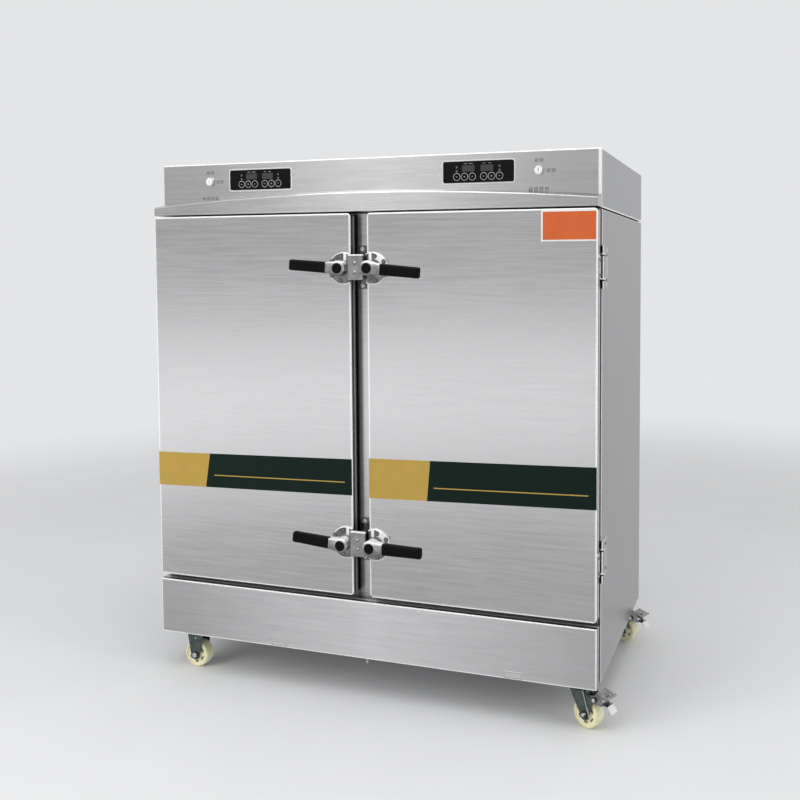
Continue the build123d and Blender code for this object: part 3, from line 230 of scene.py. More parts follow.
# Case: side skins, top and back covers and the panel under the doors are folded from brushed stainless sheet.
# The brushing runs level all round, and the bright folds are painted highlights along the sheet's bends.
right_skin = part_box("side_panel_right")
case_middle = (right_skin[1].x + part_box("side_panel_left")[0].x) / 2
case_front = right_skin[0].y


def cabinet_point(x, y, z):
    """A place in the frame from millimetres right of the cabinet's middle, behind its front and over the floor."""
    return np.array([case_middle + x / 1000, case_front + y / 1000, z / 1000])


def new_group(name, sockets_in, sockets_out):
    """A shader node group with named sockets, each a Vector, a Color or a Float, and the sockets that it is given."""
    group = bpy.data.node_groups.new(name, "ShaderNodeTree")
    for way, sockets in (("INPUT", sockets_in), ("OUTPUT", sockets_out)):
        for socket, kind in sockets.items():
            group.interface.new_socket(socket, in_out=way, socket_type="NodeSocket" + kind)
    return group, add_node("NodeGroupInput", tree=group).outputs


brushing, given = new_group(
    "level_brushing", {"Vector": "Vector", "Colour": "Color", "Contrast": "Float", "Roughness": "Float",
                       "Spread": "Float", "Pitch": "Float"},
    {"Colour": "Color", "Roughness": "Float", "Height": "Float"})
normal = axes(add_node("NewGeometry", tree=brushing).outputs["Normal"])
upward = number("ABSOLUTE", normal["Z"])
spot = axes(given["Vector"])
across = number("MULTIPLY_ADD", spot["Y"], upward, spot["Z"])
rows = []
for length, fineness in ((5.0, 1.0), (7.0, 0.16)):
    row = number("MULTIPLY", across, number("MULTIPLY", given["Pitch"], fineness))
    along_x, along_y = (number("MULTIPLY", spot[axis], length) for axis in "XY")
    stretched = add_node("CombineXYZ", {0: along_x, 1: along_y, 2: row})
    rows.append(noise(stretched.outputs[0], 1.0, 2.0, 0.6))
cloud = noise(given["Vector"], 2.4)
mixed = number("MULTIPLY_ADD", cloud, 0.5, number("ADD", *rows))
centred = number("SUBTRACT", mixed, 1.25)
gain = number("MULTIPLY_ADD", centred, given["Contrast"], 1.0)
toned = vector("SCALE", given["Colour"], gain)
rough = number("MULTIPLY_ADD", centred, given["Spread"], given["Roughness"])
add_node("NodeGroupOutput", {"Colour": toned, "Roughness": rough, "Height": rows[0]})

# Painted highlight along folds: a mask that is 1 near the edges of a box, on its front face and behind it.
fold_highlights, given = new_group("painted_fold_highlights", {"Vector": "Vector", "Low": "Vector", "High": "Vector", "Width": "Float"},
                         {"Mask": "Float"})
from_low = vector("SUBTRACT", given["Vector"], given["Low"])
from_high = vector("SUBTRACT", given["High"], given["Vector"])
inside = [vector("MAXIMUM", way, (0, 0, 0)) for way in (from_low, from_high)]
gap = axes(vector("MINIMUM", *inside))
lesser = number("MINIMUM", gap["X"], gap["Y"])
greater = number("MAXIMUM", gap["X"], gap["Y"])
middle = number("MAXIMUM", lesser, number("MINIMUM", greater, gap["Z"]))
crest = number("MULTIPLY", given["Width"], 0.4)
fade = ramped(middle, (crest, given["Width"]), (1.0, 0.0), interpolation_type="SMOOTHSTEP")
within = number("GREATER_THAN", axes(from_low)["Y"], -0.0015)
add_node("NodeGroupOutput", {"Mask": number("MULTIPLY", fade, within)})


def bumped(shader, height, strength, distance):
    """Bumps a finish by a height."""
    relief = add_node("Bump", {"Strength": strength, "Distance": distance, "Height": height})
    feed(shader, "Normal", relief.outputs["Normal"])


def steel_finish(name, colour, low, high, contrast=0.16, roughness=0.3, spread=0.1, pitch=640.0, fold=0.006,
                 fold_colour=(0.97, 0.97, 0.98), painted_sheen=(), returns=1.0):
    """Brushed sheet: level brushing in the colour, roughness and bump, and painted highlights along the folds at the
    edges of a box. With a painted sheen, its tone is times a gain that follows the share of the way across the box.
    Behind the front face, its returns are painted darker as shade by their own gain, have no fold highlights and carry
    one painted highlight streak."""
    made, shader, place = plain_finish(name, colour, metallic=1.0)
    grain, edge = (add_node("Group", tree=made.node_tree, node_tree=group) for group in (brushing, fold_highlights))
    for key, value in (("Contrast", contrast), ("Roughness", roughness), ("Spread", spread), ("Pitch", pitch),
                       ("Colour", (*colour, 1))):
        grain.inputs[key].default_value = value
    for key, value in (("Low", low), ("High", high), ("Width", fold)):
        edge.inputs[key].default_value = value
    feed(grain, "Vector", place)
    feed(edge, "Vector", place)
    worked = grain.outputs["Colour"]
    if painted_sheen:
        sheen_gains = graded(ramped(axes(place)["X"], (low[0], high[0])), painted_sheen)
        sheen_gains.color_ramp.interpolation = "B_SPLINE"
        worked = vector("MULTIPLY", worked, sheen_gains.outputs["Color"])
    crest = edge.outputs["Mask"]
    # Painted shade on the returns, with one painted highlight streak along them.
    if returns < 1:
        depth = axes(place)["Y"]
        in_front = ramped(depth, (low[1] + 0.0015, low[1] + 0.004), (1.0, 0.0))
        streak = number("COMPARE", depth, low[1] + 0.019, 0.0045)
        crest = number("MULTIPLY_ADD", streak, 0.6, number("MULTIPLY", crest, in_front))
        worked = vector("SCALE", worked, ramped(in_front, (0, 1), (returns, 1)))
    feed(shader, "Base Color", laid_over(crest, worked, (*fold_colour, 1)))
    feed(shader, "Metallic", ramped(crest, (0, 1), (1.0, 0.12)))
    polish = add_node("Mix", {0: crest, 2: grain.outputs["Roughness"], 3: 0.22})
    feed(shader, "Roughness", polish.outputs[0])
    bumped(shader, grain.outputs["Height"], 0.12, 0.0002)
    return made


def dress(finish, *names):
    """Gives CAD nodes a finish through their own material slots."""
    for name in names:
        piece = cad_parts[name]
        if not piece.material_slots:
            piece.data.materials.append(finish)
        for slot in piece.material_slots:
            slot.material = finish


case_low = cabinet_point(-690, 0, 116)
case_high = cabinet_point(690, 640, 1399.5)
dress(steel_finish("side_steel", (0.49, 0.492, 0.498), case_low, case_high, contrast=0.18, fold=0.0024,
                   fold_colour=(0.8, 0.8, 0.81)), "side_panel_right", "side_panel_left", "top_panel")
dress(steel_finish("back_steel", (0.52, 0.525, 0.535), case_low, case_high, contrast=0.12, fold=0.004), "back_panel")
# The panel under the doors is times a painted sheen, brightest near its middle, and its returns are painted darker as
# shade, with one painted highlight streak.
dress(steel_finish("service_steel", (0.93, 0.93, 0.94), *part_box("service_panel"), fold=0.005, painted_sheen=(
    (0.0, 0.6), (0.12, 0.62), (0.48, 0.97), (0.56, 0.97), (0.92, 0.66), (1.0, 0.66)), returns=0.25), "service_panel")


# Fasteners: pan head screws with a cross recess and hex bolts, zinc plated, turned and pressed from wire.
# Sheet screws hold the back cover and the head's cover.
def grid(points):
    """A grid of points, rows by columns by 3, as one list of points and the quads between neighbours."""
    rows, columns = points.shape[:2]
    corner = np.arange(rows - 1)[:, None] * columns + np.arange(columns - 1)[None, :]
    quads = np.stack([corner, corner + 1, corner + columns + 1, corner + columns], axis=-1)
    return points.reshape(-1, 3), quads.reshape(-1, 4)


def placed(points, centre, facing):
    """Points drawn about the Z axis, turned so that Z looks along facing and moved to a centre."""
    ahead = np.asarray(facing, float) / np.linalg.norm(facing)
    up = np.array([0, 0, 1.0]) if abs(ahead[2]) < 0.9 else np.array([0, 1.0, 0])
    side = np.cross(up, ahead)
    side /= np.linalg.norm(side)
    return points @ np.stack([side, np.cross(ahead, side), ahead]) + centre


def turned(profile, centre, facing, steps=24, corners=0):
    """A turned piece: radius and height follow the profile, and the angle goes once round. With corners, each
    radius is times cos(pi/n) over cos of the angle from the nearest flat's middle, which is a regular polygon."""
    radius, height = np.asarray(profile, float).T / 1000
    angle = np.linspace(0, 2 * pi, steps + 1)
    flat = np.ones_like(angle)
    if corners:
        flat = np.cos(pi / corners) / np.cos((angle % (2 * pi / corners)) - pi / corners)
    points = np.stack([radius[:, None] * np.cos(angle) * flat, radius[:, None] * np.sin(angle) * flat,
                       np.broadcast_to(height[:, None], (len(radius), len(angle)))], axis=-1)
    return grid(placed(points, centre, facing))


def screw_head(radius, height, centre, facing):
    """A pan head: its height is a dome that falls with the square of the radius, less a cross cut where either
    arm's middle line is nearer than the arm's half width, inside the cut's reach."""
    fall, deep, half_arm, reach = 0.35, 0.55, 0.17, 0.64
    ring = np.array([0, 0.2, 0.36, 0.5, 0.62, 0.78, 0.92, 1.0, 1.0, 0])
    angle = np.linspace(0, 2 * pi, 33)
    x = ring[:, None] * np.cos(angle)
    y = ring[:, None] * np.sin(angle)
    arm = np.clip((half_arm - np.minimum(abs(x), abs(y))) / 0.05, 0, 1) * np.clip((reach - ring[:, None]) / 0.06, 0, 1)
    z = (1 - fall * ring[:, None] ** 2) - deep * arm
    z[-2:] = 0
    points = np.stack([x * radius / 1000, y * radius / 1000, z * height / 1000], axis=-1)
    return grid(placed(points, centre, facing))


def new_piece(name, parts, finish, body, smooth=True):
    """One piece from closed surfaces: their points and quads are joined, seams and poles merged and the faces
    turned outwards, and the piece rides on a body of the frame."""
    counts = np.cumsum([0] + [len(points) for points, quads in parts])
    points = np.concatenate([points for points, quads in parts])
    quads = np.concatenate([quads + count for (_, quads), count in zip(parts, counts)])
    mesh = bpy.data.meshes.new(name)
    mesh.from_pydata(points.tolist(), [], quads.tolist())
    shape = bmesh.new()
    shape.from_mesh(mesh)
    bmesh.ops.remove_doubles(shape, verts=shape.verts, dist=1e-6)
    bmesh.ops.recalc_face_normals(shape, faces=shape.faces)
    for face in shape.faces:
        face.smooth = smooth
    shape.to_mesh(mesh)
    shape.free()
    if smooth:
        mesh.set_sharp_from_angle(angle=radians(35))
    mesh.materials.append(finish)
    piece = bpy.data.objects.new(name, mesh)
    bpy.context.scene.collection.objects.link(piece)
    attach(piece, body)
    return piece


zinc_bright, shader, place = plain_finish("bright_zinc", (0.72, 0.73, 0.75), metallic=1.0, roughness=0.24)
bloom = noise(place, 160.0, 3.0)
feed(shader, "Roughness", ramped(bloom, (0, 1), (0.14, 0.38)))
feed(shader, "Base Color", ramped(bloom, (0, 1), (0.62, 0.84)))


def back_screws(places):
    """Sheet screws driven into the back at these places across and over the floor."""
    return [screw_head(4.2, 2.4, cabinet_point(x, 640.0, z), (0, 1, 0)) for x, z in places]


rim = [(x, z) for z in (128, 1388) for x in np.linspace(-640, 640, 6)]
rim += [(x, z) for x in (-680, 680) for z in np.linspace(150, 1366, 7)]
new_piece("back_cover_screws", back_screws(rim), zinc_bright, "cabinet")


# Front frame: one sheet with the door and service windows, its middle post seen between the doors.
# The sheet is only wiped down, and its tone, duller than the doors', is painted shade, for it stands in their shadow.
dress(steel_finish("frame_steel", (0.27, 0.272, 0.275), case_low, case_high, contrast=0.22, roughness=0.24,
                   pitch=420.0, fold=0.001), "base_frame")
# The plinth under the head is painted near black, as the shade in the gap over the doors.
dress(steel_finish("shadowed_steel", (0.05, 0.05, 0.052), case_low, case_high, fold=0.001), "head_base")
# The middle post is painted across its width: painted shade in a thin strip at its left and a painted highlight over
# its right half.
dress(steel_finish("post_steel", (0.62, 0.62, 0.625), case_low, case_high, contrast=0.22, roughness=0.24, pitch=420.0,
                   fold=0.001, painted_sheen=((0.0, 0.44), (0.478, 0.44), (0.4805, 0.14), (0.486, 0.16), (0.488, 0.46),
                                        (0.493, 0.52), (0.4955, 0.85), (0.51, 1.0), (0.519, 1.0), (0.523, 0.44),
                                        (1.0, 0.44))),
      "front_frame")


# Doors: outer skins folded round a foam core, with an inner pan and a soft rubber seal glued round it.
# The skins are brushed level and wiped bright; the pans are plainer mill sheet.
# The skins carry painted highlights along their folds, and their returns are painted darker as shade, with one painted
# highlight streak.
for hand in ("right", "left"):
    dress(steel_finish("door_steel_" + hand, (0.62, 0.62, 0.625), *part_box("door_skin_" + hand), contrast=0.15,
                       roughness=0.25, fold=0.007, returns=0.35), "door_skin_" + hand)

pan_steel, shader, place = plain_finish("mill_steel", (0.66, 0.665, 0.67), metallic=1.0, roughness=0.3)
roll = add_node("Mapping", {"Vector": place, "Scale": (60.0, 60.0, 4.0)})
rolled = noise(roll.outputs[0], 1.0, 4.0)
water = noise(place, 9.0, 5.0, 0.7)
feed(shader, "Base Color", ramped(water, (0.35, 0.75), (0.62, 0.74)))
feed(shader, "Roughness", ramped(rolled, (0, 1), (0.22, 0.42)))
dress(pan_steel, "door_liner_right", "door_liner_left", "chamber_right", "chamber_left", "tray_rails_right",
      "tray_rails_left", "steam_plates", "feed_tank")

seal_rubber, shader, place = plain_finish("seal_rubber", (0.035, 0.035, 0.037), roughness=0.62)
feed(shader, "Base Color", ramped(noise(place, 90.0, 4.0), (0.4, 0.8), (0.028, 0.06)))
dress(seal_rubber, "door_gasket_right", "door_gasket_left")

foam_colour = (0.8, 0.74, 0.55)
foam, shader, place = plain_finish("insulating_foam", foam_colour, roughness=0.95)
cells = add_node("TexVoronoi", {"Vector": place, "Scale": 420.0}).outputs["Distance"]
feed(shader, "Base Color", vector("SCALE", foam_colour, ramped(cells, (0, 1), (0.86, 1.04))))
bumped(shader, cells, 0.5, 0.0008)
dress(foam, "body_insulation", "door_foam_right", "door_foam_left")


# Door bands: thin printed film across both doors, a gold end with a slanted edge and a dark green run with one
# plain gold rule. The upper corner of the right door carries a plain orange film with a white border.
def slanted_film(corners, front, thick, columns=14):
    """A thin film on a front: the first parameter goes along it between its left and right edges, given by their
    lower and upper corners, and the second goes up its face, over its top and down its back."""
    (x0, z0), (x1, z1), (x2, z2), (x3, z3) = corners
    along = np.linspace(0, 1, columns)[:, None]
    up = np.array([0, 1, 1, 0, 0.0])
    depth = np.array([front - thick, front - thick, front, front, front - thick])
    x = (1 - along) * (x0 + (x3 - x0) * up) + along * (x1 + (x2 - x1) * up)
    z = (1 - along) * (z0 + (z3 - z0) * up) + along * (z1 + (z2 - z1) * up)
    y = np.broadcast_to(depth, x.shape)
    sheet = np.stack([x, y, z], axis=-1)
    ends = [np.stack([end[[0, 1]], end[[3, 2]]]) for end in (sheet[0], sheet[-1])]
    return [grid(piece / 1000 + cabinet_point(0, 0, 0)) for piece in (sheet, *ends)]


def film_finish(name, colour):
    """Printed vinyl: a flat colour with faint mottling, a slight orange peel and a dull gloss."""
    made, shader, place = plain_finish(name, colour, roughness=0.36, Specular_IOR_Level=0.12)
    gain = ramped(noise(place, 26.0, 4.0), (0, 1), (0.93, 1.07))
    feed(shader, "Base Color", vector("SCALE", colour, gain))
    bumped(shader, noise(place, 300.0), 0.08, 0.0002)
    return made


gold_film = film_finish("gold_film", (0.5, 0.33, 0.075))
green_film = film_finish("green_film", (0.004, 0.014, 0.01))
orange_film = film_finish("orange_film", (0.66, 0.14, 0.045))
white_film = film_finish("white_film", (0.85, 0.85, 0.83))
door_face = -55.0
film_thick = 0.25


def new_film(name, corners, finish, body, over=False):
    """A film between its corners on a door's front, or a thinner one over it."""
    front_face, thick = (door_face - film_thick, 0.1) if over else (door_face, film_thick)
    new_piece(name, slanted_film(corners, front_face, thick), finish, body, smooth=False)


bands = {"left": ((-689, 577.5, 680), (-513, -521, -505), (-28, 591, 696)),
         "right": ((26.5, 588, 702), (210, 205, 215), (689, 604, 718))}
for side, ((x0, low0, high0), (cut, cut_low, cut_high), (x1, low1, high1)) in bands.items():
    share = (cut - x0) / (x1 - x0)
    cut_foot = low0 + (low1 - low0) * share
    cut_head = high0 + (high1 - high0) * share
    gold = ((x0, low0), (cut_low, cut_foot), (cut_high, cut_head), (x0, high0))
    green = ((cut_low, cut_foot), (x1, low1), (x1, high1), (cut_high, cut_head))
    new_film("band_gold_" + side, gold, gold_film, "door_" + side)
    new_film("band_green_" + side, green, green_film, "door_" + side)
    (x2, z2), (x3, z3) = [(x, low0 + (low1 - low0) * (x - x0) / (x1 - x0) + 36)
                          for x in (x0 + (x1 - x0) * 0.3, x0 + (x1 - x0) * 0.965)]
    rule = ((x2, z2), (x3, z3), (x3, z3 + 3), (x2, z2 + 3))
    new_film("band_rule_" + side, rule, gold_film, "door_" + side, over=True)
border = ((536, 1313), (688.5, 1313), (688.5, 1394.5), (536, 1394.5))
new_film("corner_film_border", border, white_film, "door_right")
field = ((540.5, 1317), (685, 1317), (685, 1391), (540.5, 1391))
new_film("corner_film", field, orange_film, "door_right", over=True)


# Small plates: two thin plain aluminium plates stuck at the lower edge of the service panel, over the drain
# and over the relief pipe.
front = (0, -1, 0)


def rounded_plate(width, height, thick, corner, edge, x, y, z, hole=0.0, arc=4):
    """A plate that faces the front, with rounded corners: the first parameter runs round its outline, which is four
    corner arcs joined by straights, and the second from the middle of its back out to its rim, over its edge and in
    to the middle of its face. With a hole, it goes round a frame of that width instead."""
    quarter = np.arange(4)[:, None] * pi / 2 + np.linspace(0, pi / 2, arc + 1)[None, :]
    across = np.array([1, -1, -1, 1.0])[:, None]
    upright = np.array([1, 1, -1, -1.0])[:, None]
    steps = ((hole, 0), (0, 0), (0, thick), (hole, thick), (hole, 0)) if hole else (
        (None, 0), (0, 0), (0, thick - edge), (edge, thick), (None, thick))
    rings = []
    for inset, rise in steps:
        share = 0.0 if inset is None else 1.0
        inset = inset or 0.0
        radius = max(corner - inset, 0.01)
        out = across * (width / 2 - inset - radius) + radius * np.cos(quarter)
        up = upright * (height / 2 - inset - radius) + radius * np.sin(quarter)
        ring = np.stack([out.ravel() * share, up.ravel() * share, np.full(out.size, rise)], axis=-1)
        rings.append(np.concatenate([ring, ring[:1]]))
    return grid(placed(np.array(rings) / 1000, cabinet_point(x, y, z), front))


def mottled(name, colour, drift, scale, detail=2.0, grey=False, **settings):
    """A plain finish whose colour is times a gain that drifts with cloudy noise, or is a grey that drifts so."""
    made, shader, place = plain_finish(name, colour, **settings)
    tone = ramped(noise(place, scale, detail), (0, 1), drift)
    feed(shader, "Base Color", tone if grey else vector("SCALE", colour, tone))
    return made


plate_metal, shader, place = plain_finish("plate_aluminium", (0.66, 0.67, 0.66), metallic=1.0, roughness=0.4)
drawn = add_node("Mapping", {"Vector": place, "Scale": (8.0, 8.0, 900.0)})
feed(shader, "Base Color", ramped(noise(drawn.outputs[0], 1.0), (0, 1), (0.66, 0.86)))
black_print_and_shade = mottled("printed_black_and_shade", (0.05, 0.05, 0.052), (0.035, 0.085), 400.0, grey=True, roughness=0.55)
plates = []
lines = []
for width, height, x, z in ((51, 15, -274, 126.5), (55, 19, 457, 128.5)):
    plates.append(rounded_plate(width, height, 0.8, 1.5, 0.3, x, door_face, z))
    lines.append(rounded_plate(width - 3, height - 3, 0.08, 1.4, 0.02, x, door_face - 0.8, z, hole=0.7))
new_piece("service_plates", plates, plate_metal, "cabinet")
new_piece("service_plate_lines", lines, black_print_and_shade, "cabinet")


# Head: the fascia with its arched visor and the cover behind it, folded from the same brushed sheet.
# The fascia carries a painted sheen, brightest a little right of its middle, and painted shade on the visor's upper
# lip, darker to the right. Screws hold the cover at the back, and small plain frames stand beside the turn switches.
head_low = cabinet_point(-690, -12, 1403.5)
head_high = cabinet_point(690, 640, 1560)
# The fascia's tone is times a painted sheen, brightest a little right of its middle, and its folds carry painted
# highlights.
fascia_steel = steel_finish("fascia_steel", (0.99, 0.99, 0.99), head_low, head_high - np.array([0.005, 0, 0]),
                            contrast=0.09, roughness=0.25, fold=0.005, painted_sheen=(
                                (0.0, 0.6), (0.17, 0.59), (0.44, 1.0), (0.6, 1.02), (0.86, 0.6), (1.0, 0.6)))
tree = fascia_steel.node_tree
shader = tree.nodes["Principled BSDF"]
spot = axes(add_node("TexCoord", tree=tree).outputs["Object"])
normal = axes(add_node("NewGeometry", tree=tree).outputs["Normal"])
# Painted shade: upward-facing faces of the visor's lip are darkened towards the right.
upper = ramped(normal["Z"], (0.2, 0.6))
right = ramped(spot["X"], (0.05, 0.6), (0, 0.62))
level = number("COMPARE", spot["Z"], 1.44, 0.05)
painted_lip_shade = number("MULTIPLY", number("MULTIPLY", upper, right), level)
wear_and_sheen = shader.inputs["Base Color"].links[0].from_socket
feed(shader, "Base Color", vector("SCALE", wear_and_sheen, number("SUBTRACT", 1.0, painted_lip_shade)))
dress(fascia_steel, "head_fascia")
dress(steel_finish("cover_steel", (0.5, 0.505, 0.515), head_low, head_high, contrast=0.12, fold=0.005), "head_shell")
screws = back_screws([(x, 1418) for x in (-560, -280, 0, 280, 560)])
new_piece("head_cover_screws", screws, zinc_bright, "cabinet")
head_face = -12
switch_out = 518
switch_height = 1506
marks = []
for x in (-switch_out, switch_out):
    for dx, z in ((-7, 1533), (7, 1533), (27, 1505), (41, 1505), (-23, 1456), (-8, 1456), (7, 1456), (22, 1456)):
        marks.append(rounded_plate(9.5, 8.5, 0.06, 1.0, 0.02, x + dx, head_face, z, hole=1.3))
        marks.append(rounded_plate(9.5, 1.2, 0.06, 0.5, 0.02, x + dx, head_face, z, arc=2))
new_piece("switch_marks", marks, black_print_and_shade, "cabinet")


# Control panels: glossy black film over membrane keys, in a thin rim painted pale as a highlight, with grey key rings
# and plain signs, two unlit number displays and four small signal lamps on each.
panel_film, shader, place = plain_finish("panel_film", (0.004, 0.004, 0.005), roughness=0.16, Specular_IOR_Level=0.15)
feed(shader, "Roughness", ramped(noise(place, 70.0, 5.0, 0.7), (0.4, 0.8), (0.12, 0.3)))
dress(panel_film, "control_panels")
painted_rim_highlight = mottled("painted_rim_highlight", (0.72, 0.72, 0.73), (0.68, 0.78), 120.0, grey=True)
print_grey = mottled("printed_grey", (0.5, 0.51, 0.52), (0.44, 0.58), 500.0, grey=True, roughness=0.45)
smoked_glass = mottled("smoked_glass", (0.034, 0.031, 0.029), (0.85, 1.15), 160.0, roughness=0.3)
segment_glass = mottled("unlit_segments", (0.06, 0.05, 0.046), (0.85, 1.15), 220.0, roughness=0.3)
lamp_glass = mottled("unlit_lamps", (0.13, 0.105, 0.085), (0.8, 1.2), 300.0, roughness=0.25, Coat_Weight=0.3)

panel_face = -14.5
key_face = panel_face - 0.6
glass_face = panel_face - 0.06
panel_out = 344.5
key_height = 1495
display_height = 1517.5
key_ring = ((10.4, 0), (10.4, 0.12), (9.1, 0.12), (9.1, 0), (10.4, 0))
digit_bars = [(0, up, 4.4, 1.3) for up in (6.6, 0, -6.6)]
digit_bars += [(aside, up, 1.3, 5.2) for up in (3.3, -3.3) for aside in (-2.9, 2.9)]
rims, rings, windows, segments, signals = [], [], [], [], []
for panel_x in (-panel_out, panel_out):
    rims.append(rounded_plate(213.5, 66.5, 1.0, 8, 0.3, panel_x, head_face, 1508, hole=3.0))
    for group_x, glass_x, line in ((-39.5, panel_x - 28.5, 12), (39.5, panel_x + 26, 8)):
        for step, bars in ((-22.8, ((5.2, 1.1),)), (0, ((1.1, 5.2), (5.2, 1.1))), (22.8, ((2.2, 2.2),))):
            x = panel_x + group_x + step
            rings.append(turned(key_ring, cabinet_point(x, panel_face, key_height), front, steps=32))
            for width, height in bars:
                rings.append(rounded_plate(width, height, 0.08, 0.5, 0.02, x, key_face, key_height, arc=2))
        windows.append(rounded_plate(37, 17.5, 0.06, 1.0, 0.02, glass_x, panel_face, display_height, arc=2))
        for x in (glass_x - 8, glass_x + 8):
            rings.append(rounded_plate(line, 0.9, 0.08, 0.4, 0.02, x, panel_face, display_height + 13, arc=2))
        for digit in (-14.0, -4.7, 4.7, 14.0):
            for dx, dz, width, height in digit_bars:
                segments.append(rounded_plate(width, height, 0.1, 0.4, 0.03, glass_x + digit + dx, glass_face,
                                              display_height + dz, arc=1))
    for x in (panel_x - 62.3, panel_x + 62.3):
        for z in (display_height - 7, display_height + 4):
            signals.append(rounded_plate(5.6, 5.6, 0.5, 0.8, 0.3, x, panel_face, z, arc=3))
new_piece("panel_rims", rims, painted_rim_highlight, "cabinet")
new_piece("key_rings", rings, print_grey, "cabinet", smooth=False)
new_piece("display_windows", windows, smoked_glass, "cabinet", smooth=False)
new_piece("display_segments", segments, segment_glass, "cabinet", smooth=False)
new_piece("signal_lamps", signals, lamp_glass, "cabinet")


# Turn switches: a cream plastic knob in a zinc collar that is part of the fascia, with a pointer slot across it.
# Behind them, in the head, are their grey bodies and the contactors.
dress(mottled("knob_cream", (0.96, 0.96, 0.93), (0.96, 1.03), 180.0, 3.0, roughness=0.3, Coat_Weight=0.2),
      "switch_knob_right", "switch_knob_left")
bezel = ((14.2, 0), (14.2, 3.2), (13.4, 5.2), (11.4, 5.4), (10.7, 5.0), (10.7, 4.0), (14.2, 0))
bezels = [turned(bezel, cabinet_point(x, head_face, switch_height), front, steps=40)
          for x in (-switch_out, switch_out)]
new_piece("switch_bezels", bezels, zinc_bright, "cabinet")
slot_grey = mottled("slot_grey", (0.3, 0.32, 0.34), (0.26, 0.4), 300.0, grey=True, roughness=0.6)
hands = ((1, "right"), (-1, "left"))
for side, name in hands:
    slot_floor = (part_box("switch_knob_" + name)[0].y + 0.0014 - case_front) * 1000
    slot = rounded_plate(2.3, 12.8, 0.15, 1.1, 0.05, switch_out * side, slot_floor, switch_height)
    new_piece("knob_slot_" + name, [slot], slot_grey, "switch_" + name)
dress(mottled("electrics_grey", (0.2, 0.21, 0.225), (0.17, 0.25), 260.0, grey=True, roughness=0.6),
      "head_electrics", "cable_gland")


# Hinges: pressed steel leaves with knuckles round a pin, bolted to the case's side and to the door's edge.
# The knuckles' lower rims carry a painted highlight, over a painted shade slit between one knuckle and the next, and
# the knuckles are painted darker inwards as shade, with a painted highlight strip on their outer side.
hinge_metal, shader, place = plain_finish("hinge_metal", (0.6, 0.61, 0.62), metallic=1.0, roughness=0.2)
cast = noise(place, 110.0, 4.0)
feed(shader, "Roughness", ramped(cast, (0, 1), (0.12, 0.26)))
tone = ramped(cast, (0.3, 0.7), (0.54, 0.68))
spot = axes(place)
knuckle_step, rim_up, slit_up = 0.066, 0.026, 0.0222
# Painted highlight on each knuckle's lower rim and painted shade in the slit under it.
up_knuckle = number("FLOORED_MODULO", spot["Z"], knuckle_step)
rim = number("COMPARE", up_knuckle, rim_up, 0.0021)
slit = number("COMPARE", up_knuckle, slit_up, 0.0016)
pin_behind = -12
barrel = number("COMPARE", spot["Y"], cabinet_point(0, pin_behind, 0)[1], 0.0072)
knuckle_rim_highlight, knuckle_slit_shade = (number("MULTIPLY", mask, barrel) for mask in (rim, slit))
rimmed = laid_over(knuckle_rim_highlight, tone, (0.95, 0.95, 0.95, 1))
slitted = laid_over(knuckle_slit_shade, rimmed, (0.012, 0.012, 0.013, 1))
# Painted shade on the knuckles inwards and a painted highlight strip on their outer side.
from_middle = number("ABSOLUTE", number("SUBTRACT", spot["X"], case_middle))
outer = number("COMPARE", from_middle, 0.6967, 0.0018)
inner = ramped(from_middle, (0.6945, 0.6955), (0.08, 0.45))
open_steel = number("SUBTRACT", barrel, knuckle_rim_highlight)
shade = add_node("Mix", {0: open_steel, 2: 1.0, 3: inner}).outputs[0]
feed(shader, "Base Color", vector("SCALE", slitted, shade))
lit = number("SUBTRACT", number("MULTIPLY", open_steel, outer), knuckle_slit_shade, use_clamp=True)
lit = number("MAXIMUM", lit, knuckle_rim_highlight)


def painted_highlight(finish, mask):
    """Lays a painted white highlight over a metal finish where the mask is 1."""
    shader = finish.node_tree.nodes["Principled BSDF"]
    under = shader.inputs["Base Color"].links[0].from_socket
    feed(shader, "Base Color", laid_over(mask, under, (0.95, 0.95, 0.95, 1)))
    feed(shader, "Metallic", ramped(mask, (0, 1), (1.0, 0.15)))


painted_highlight(hinge_metal, lit)
bumped(shader, cast, 0.08, 0.0003)
dress(hinge_metal, "body_hinges", "door_hinges_right", "door_hinges_left")
leaf_face = 692.5
hinge_heights = (1245, 452)
zinc_dark = mottled("dark_zinc", (0.24, 0.245, 0.25), (0.18, 0.3), 200.0, grey=True, metallic=1.0, roughness=0.3)
body_screws = [screw_head(4.6, 1.6, cabinet_point(leaf_face * side, 47, height + z), (side, 0, 0))
               for side in (-1, 1) for height in hinge_heights for z in (-34, 34)]
new_piece("body_hinge_screws", body_screws, zinc_dark, "cabinet")
for side, name in hands:
    door_screws = [screw_head(5.0, 2.2, cabinet_point(leaf_face * side, -38, height + z), (side, 0, 0))
                   for height in hinge_heights for z in (-20, 20)]
    new_piece("door_hinge_screws_" + name, door_screws, zinc_dark, "door_" + name)


# Latches: cast levers on round bases screwed to the doors, with black plastic grips pushed on their tangs. Between
# two levers a striker block stands on the middle post, held by two screws through its base. A lever rests a little
# raised or lowered, by the last angle of its row.
latch_heights = (1243, 455)
striker_heights = [height + 3 for height in latch_heights]
pivot_out = 45.5
levers = (("top_left", -1, latch_heights[0], radians(4.0)), ("top_right", 1, latch_heights[0], radians(-5.0)),
          ("bottom_left", -1, latch_heights[1], radians(4.5)), ("bottom_right", 1, latch_heights[1], radians(-1.0)))


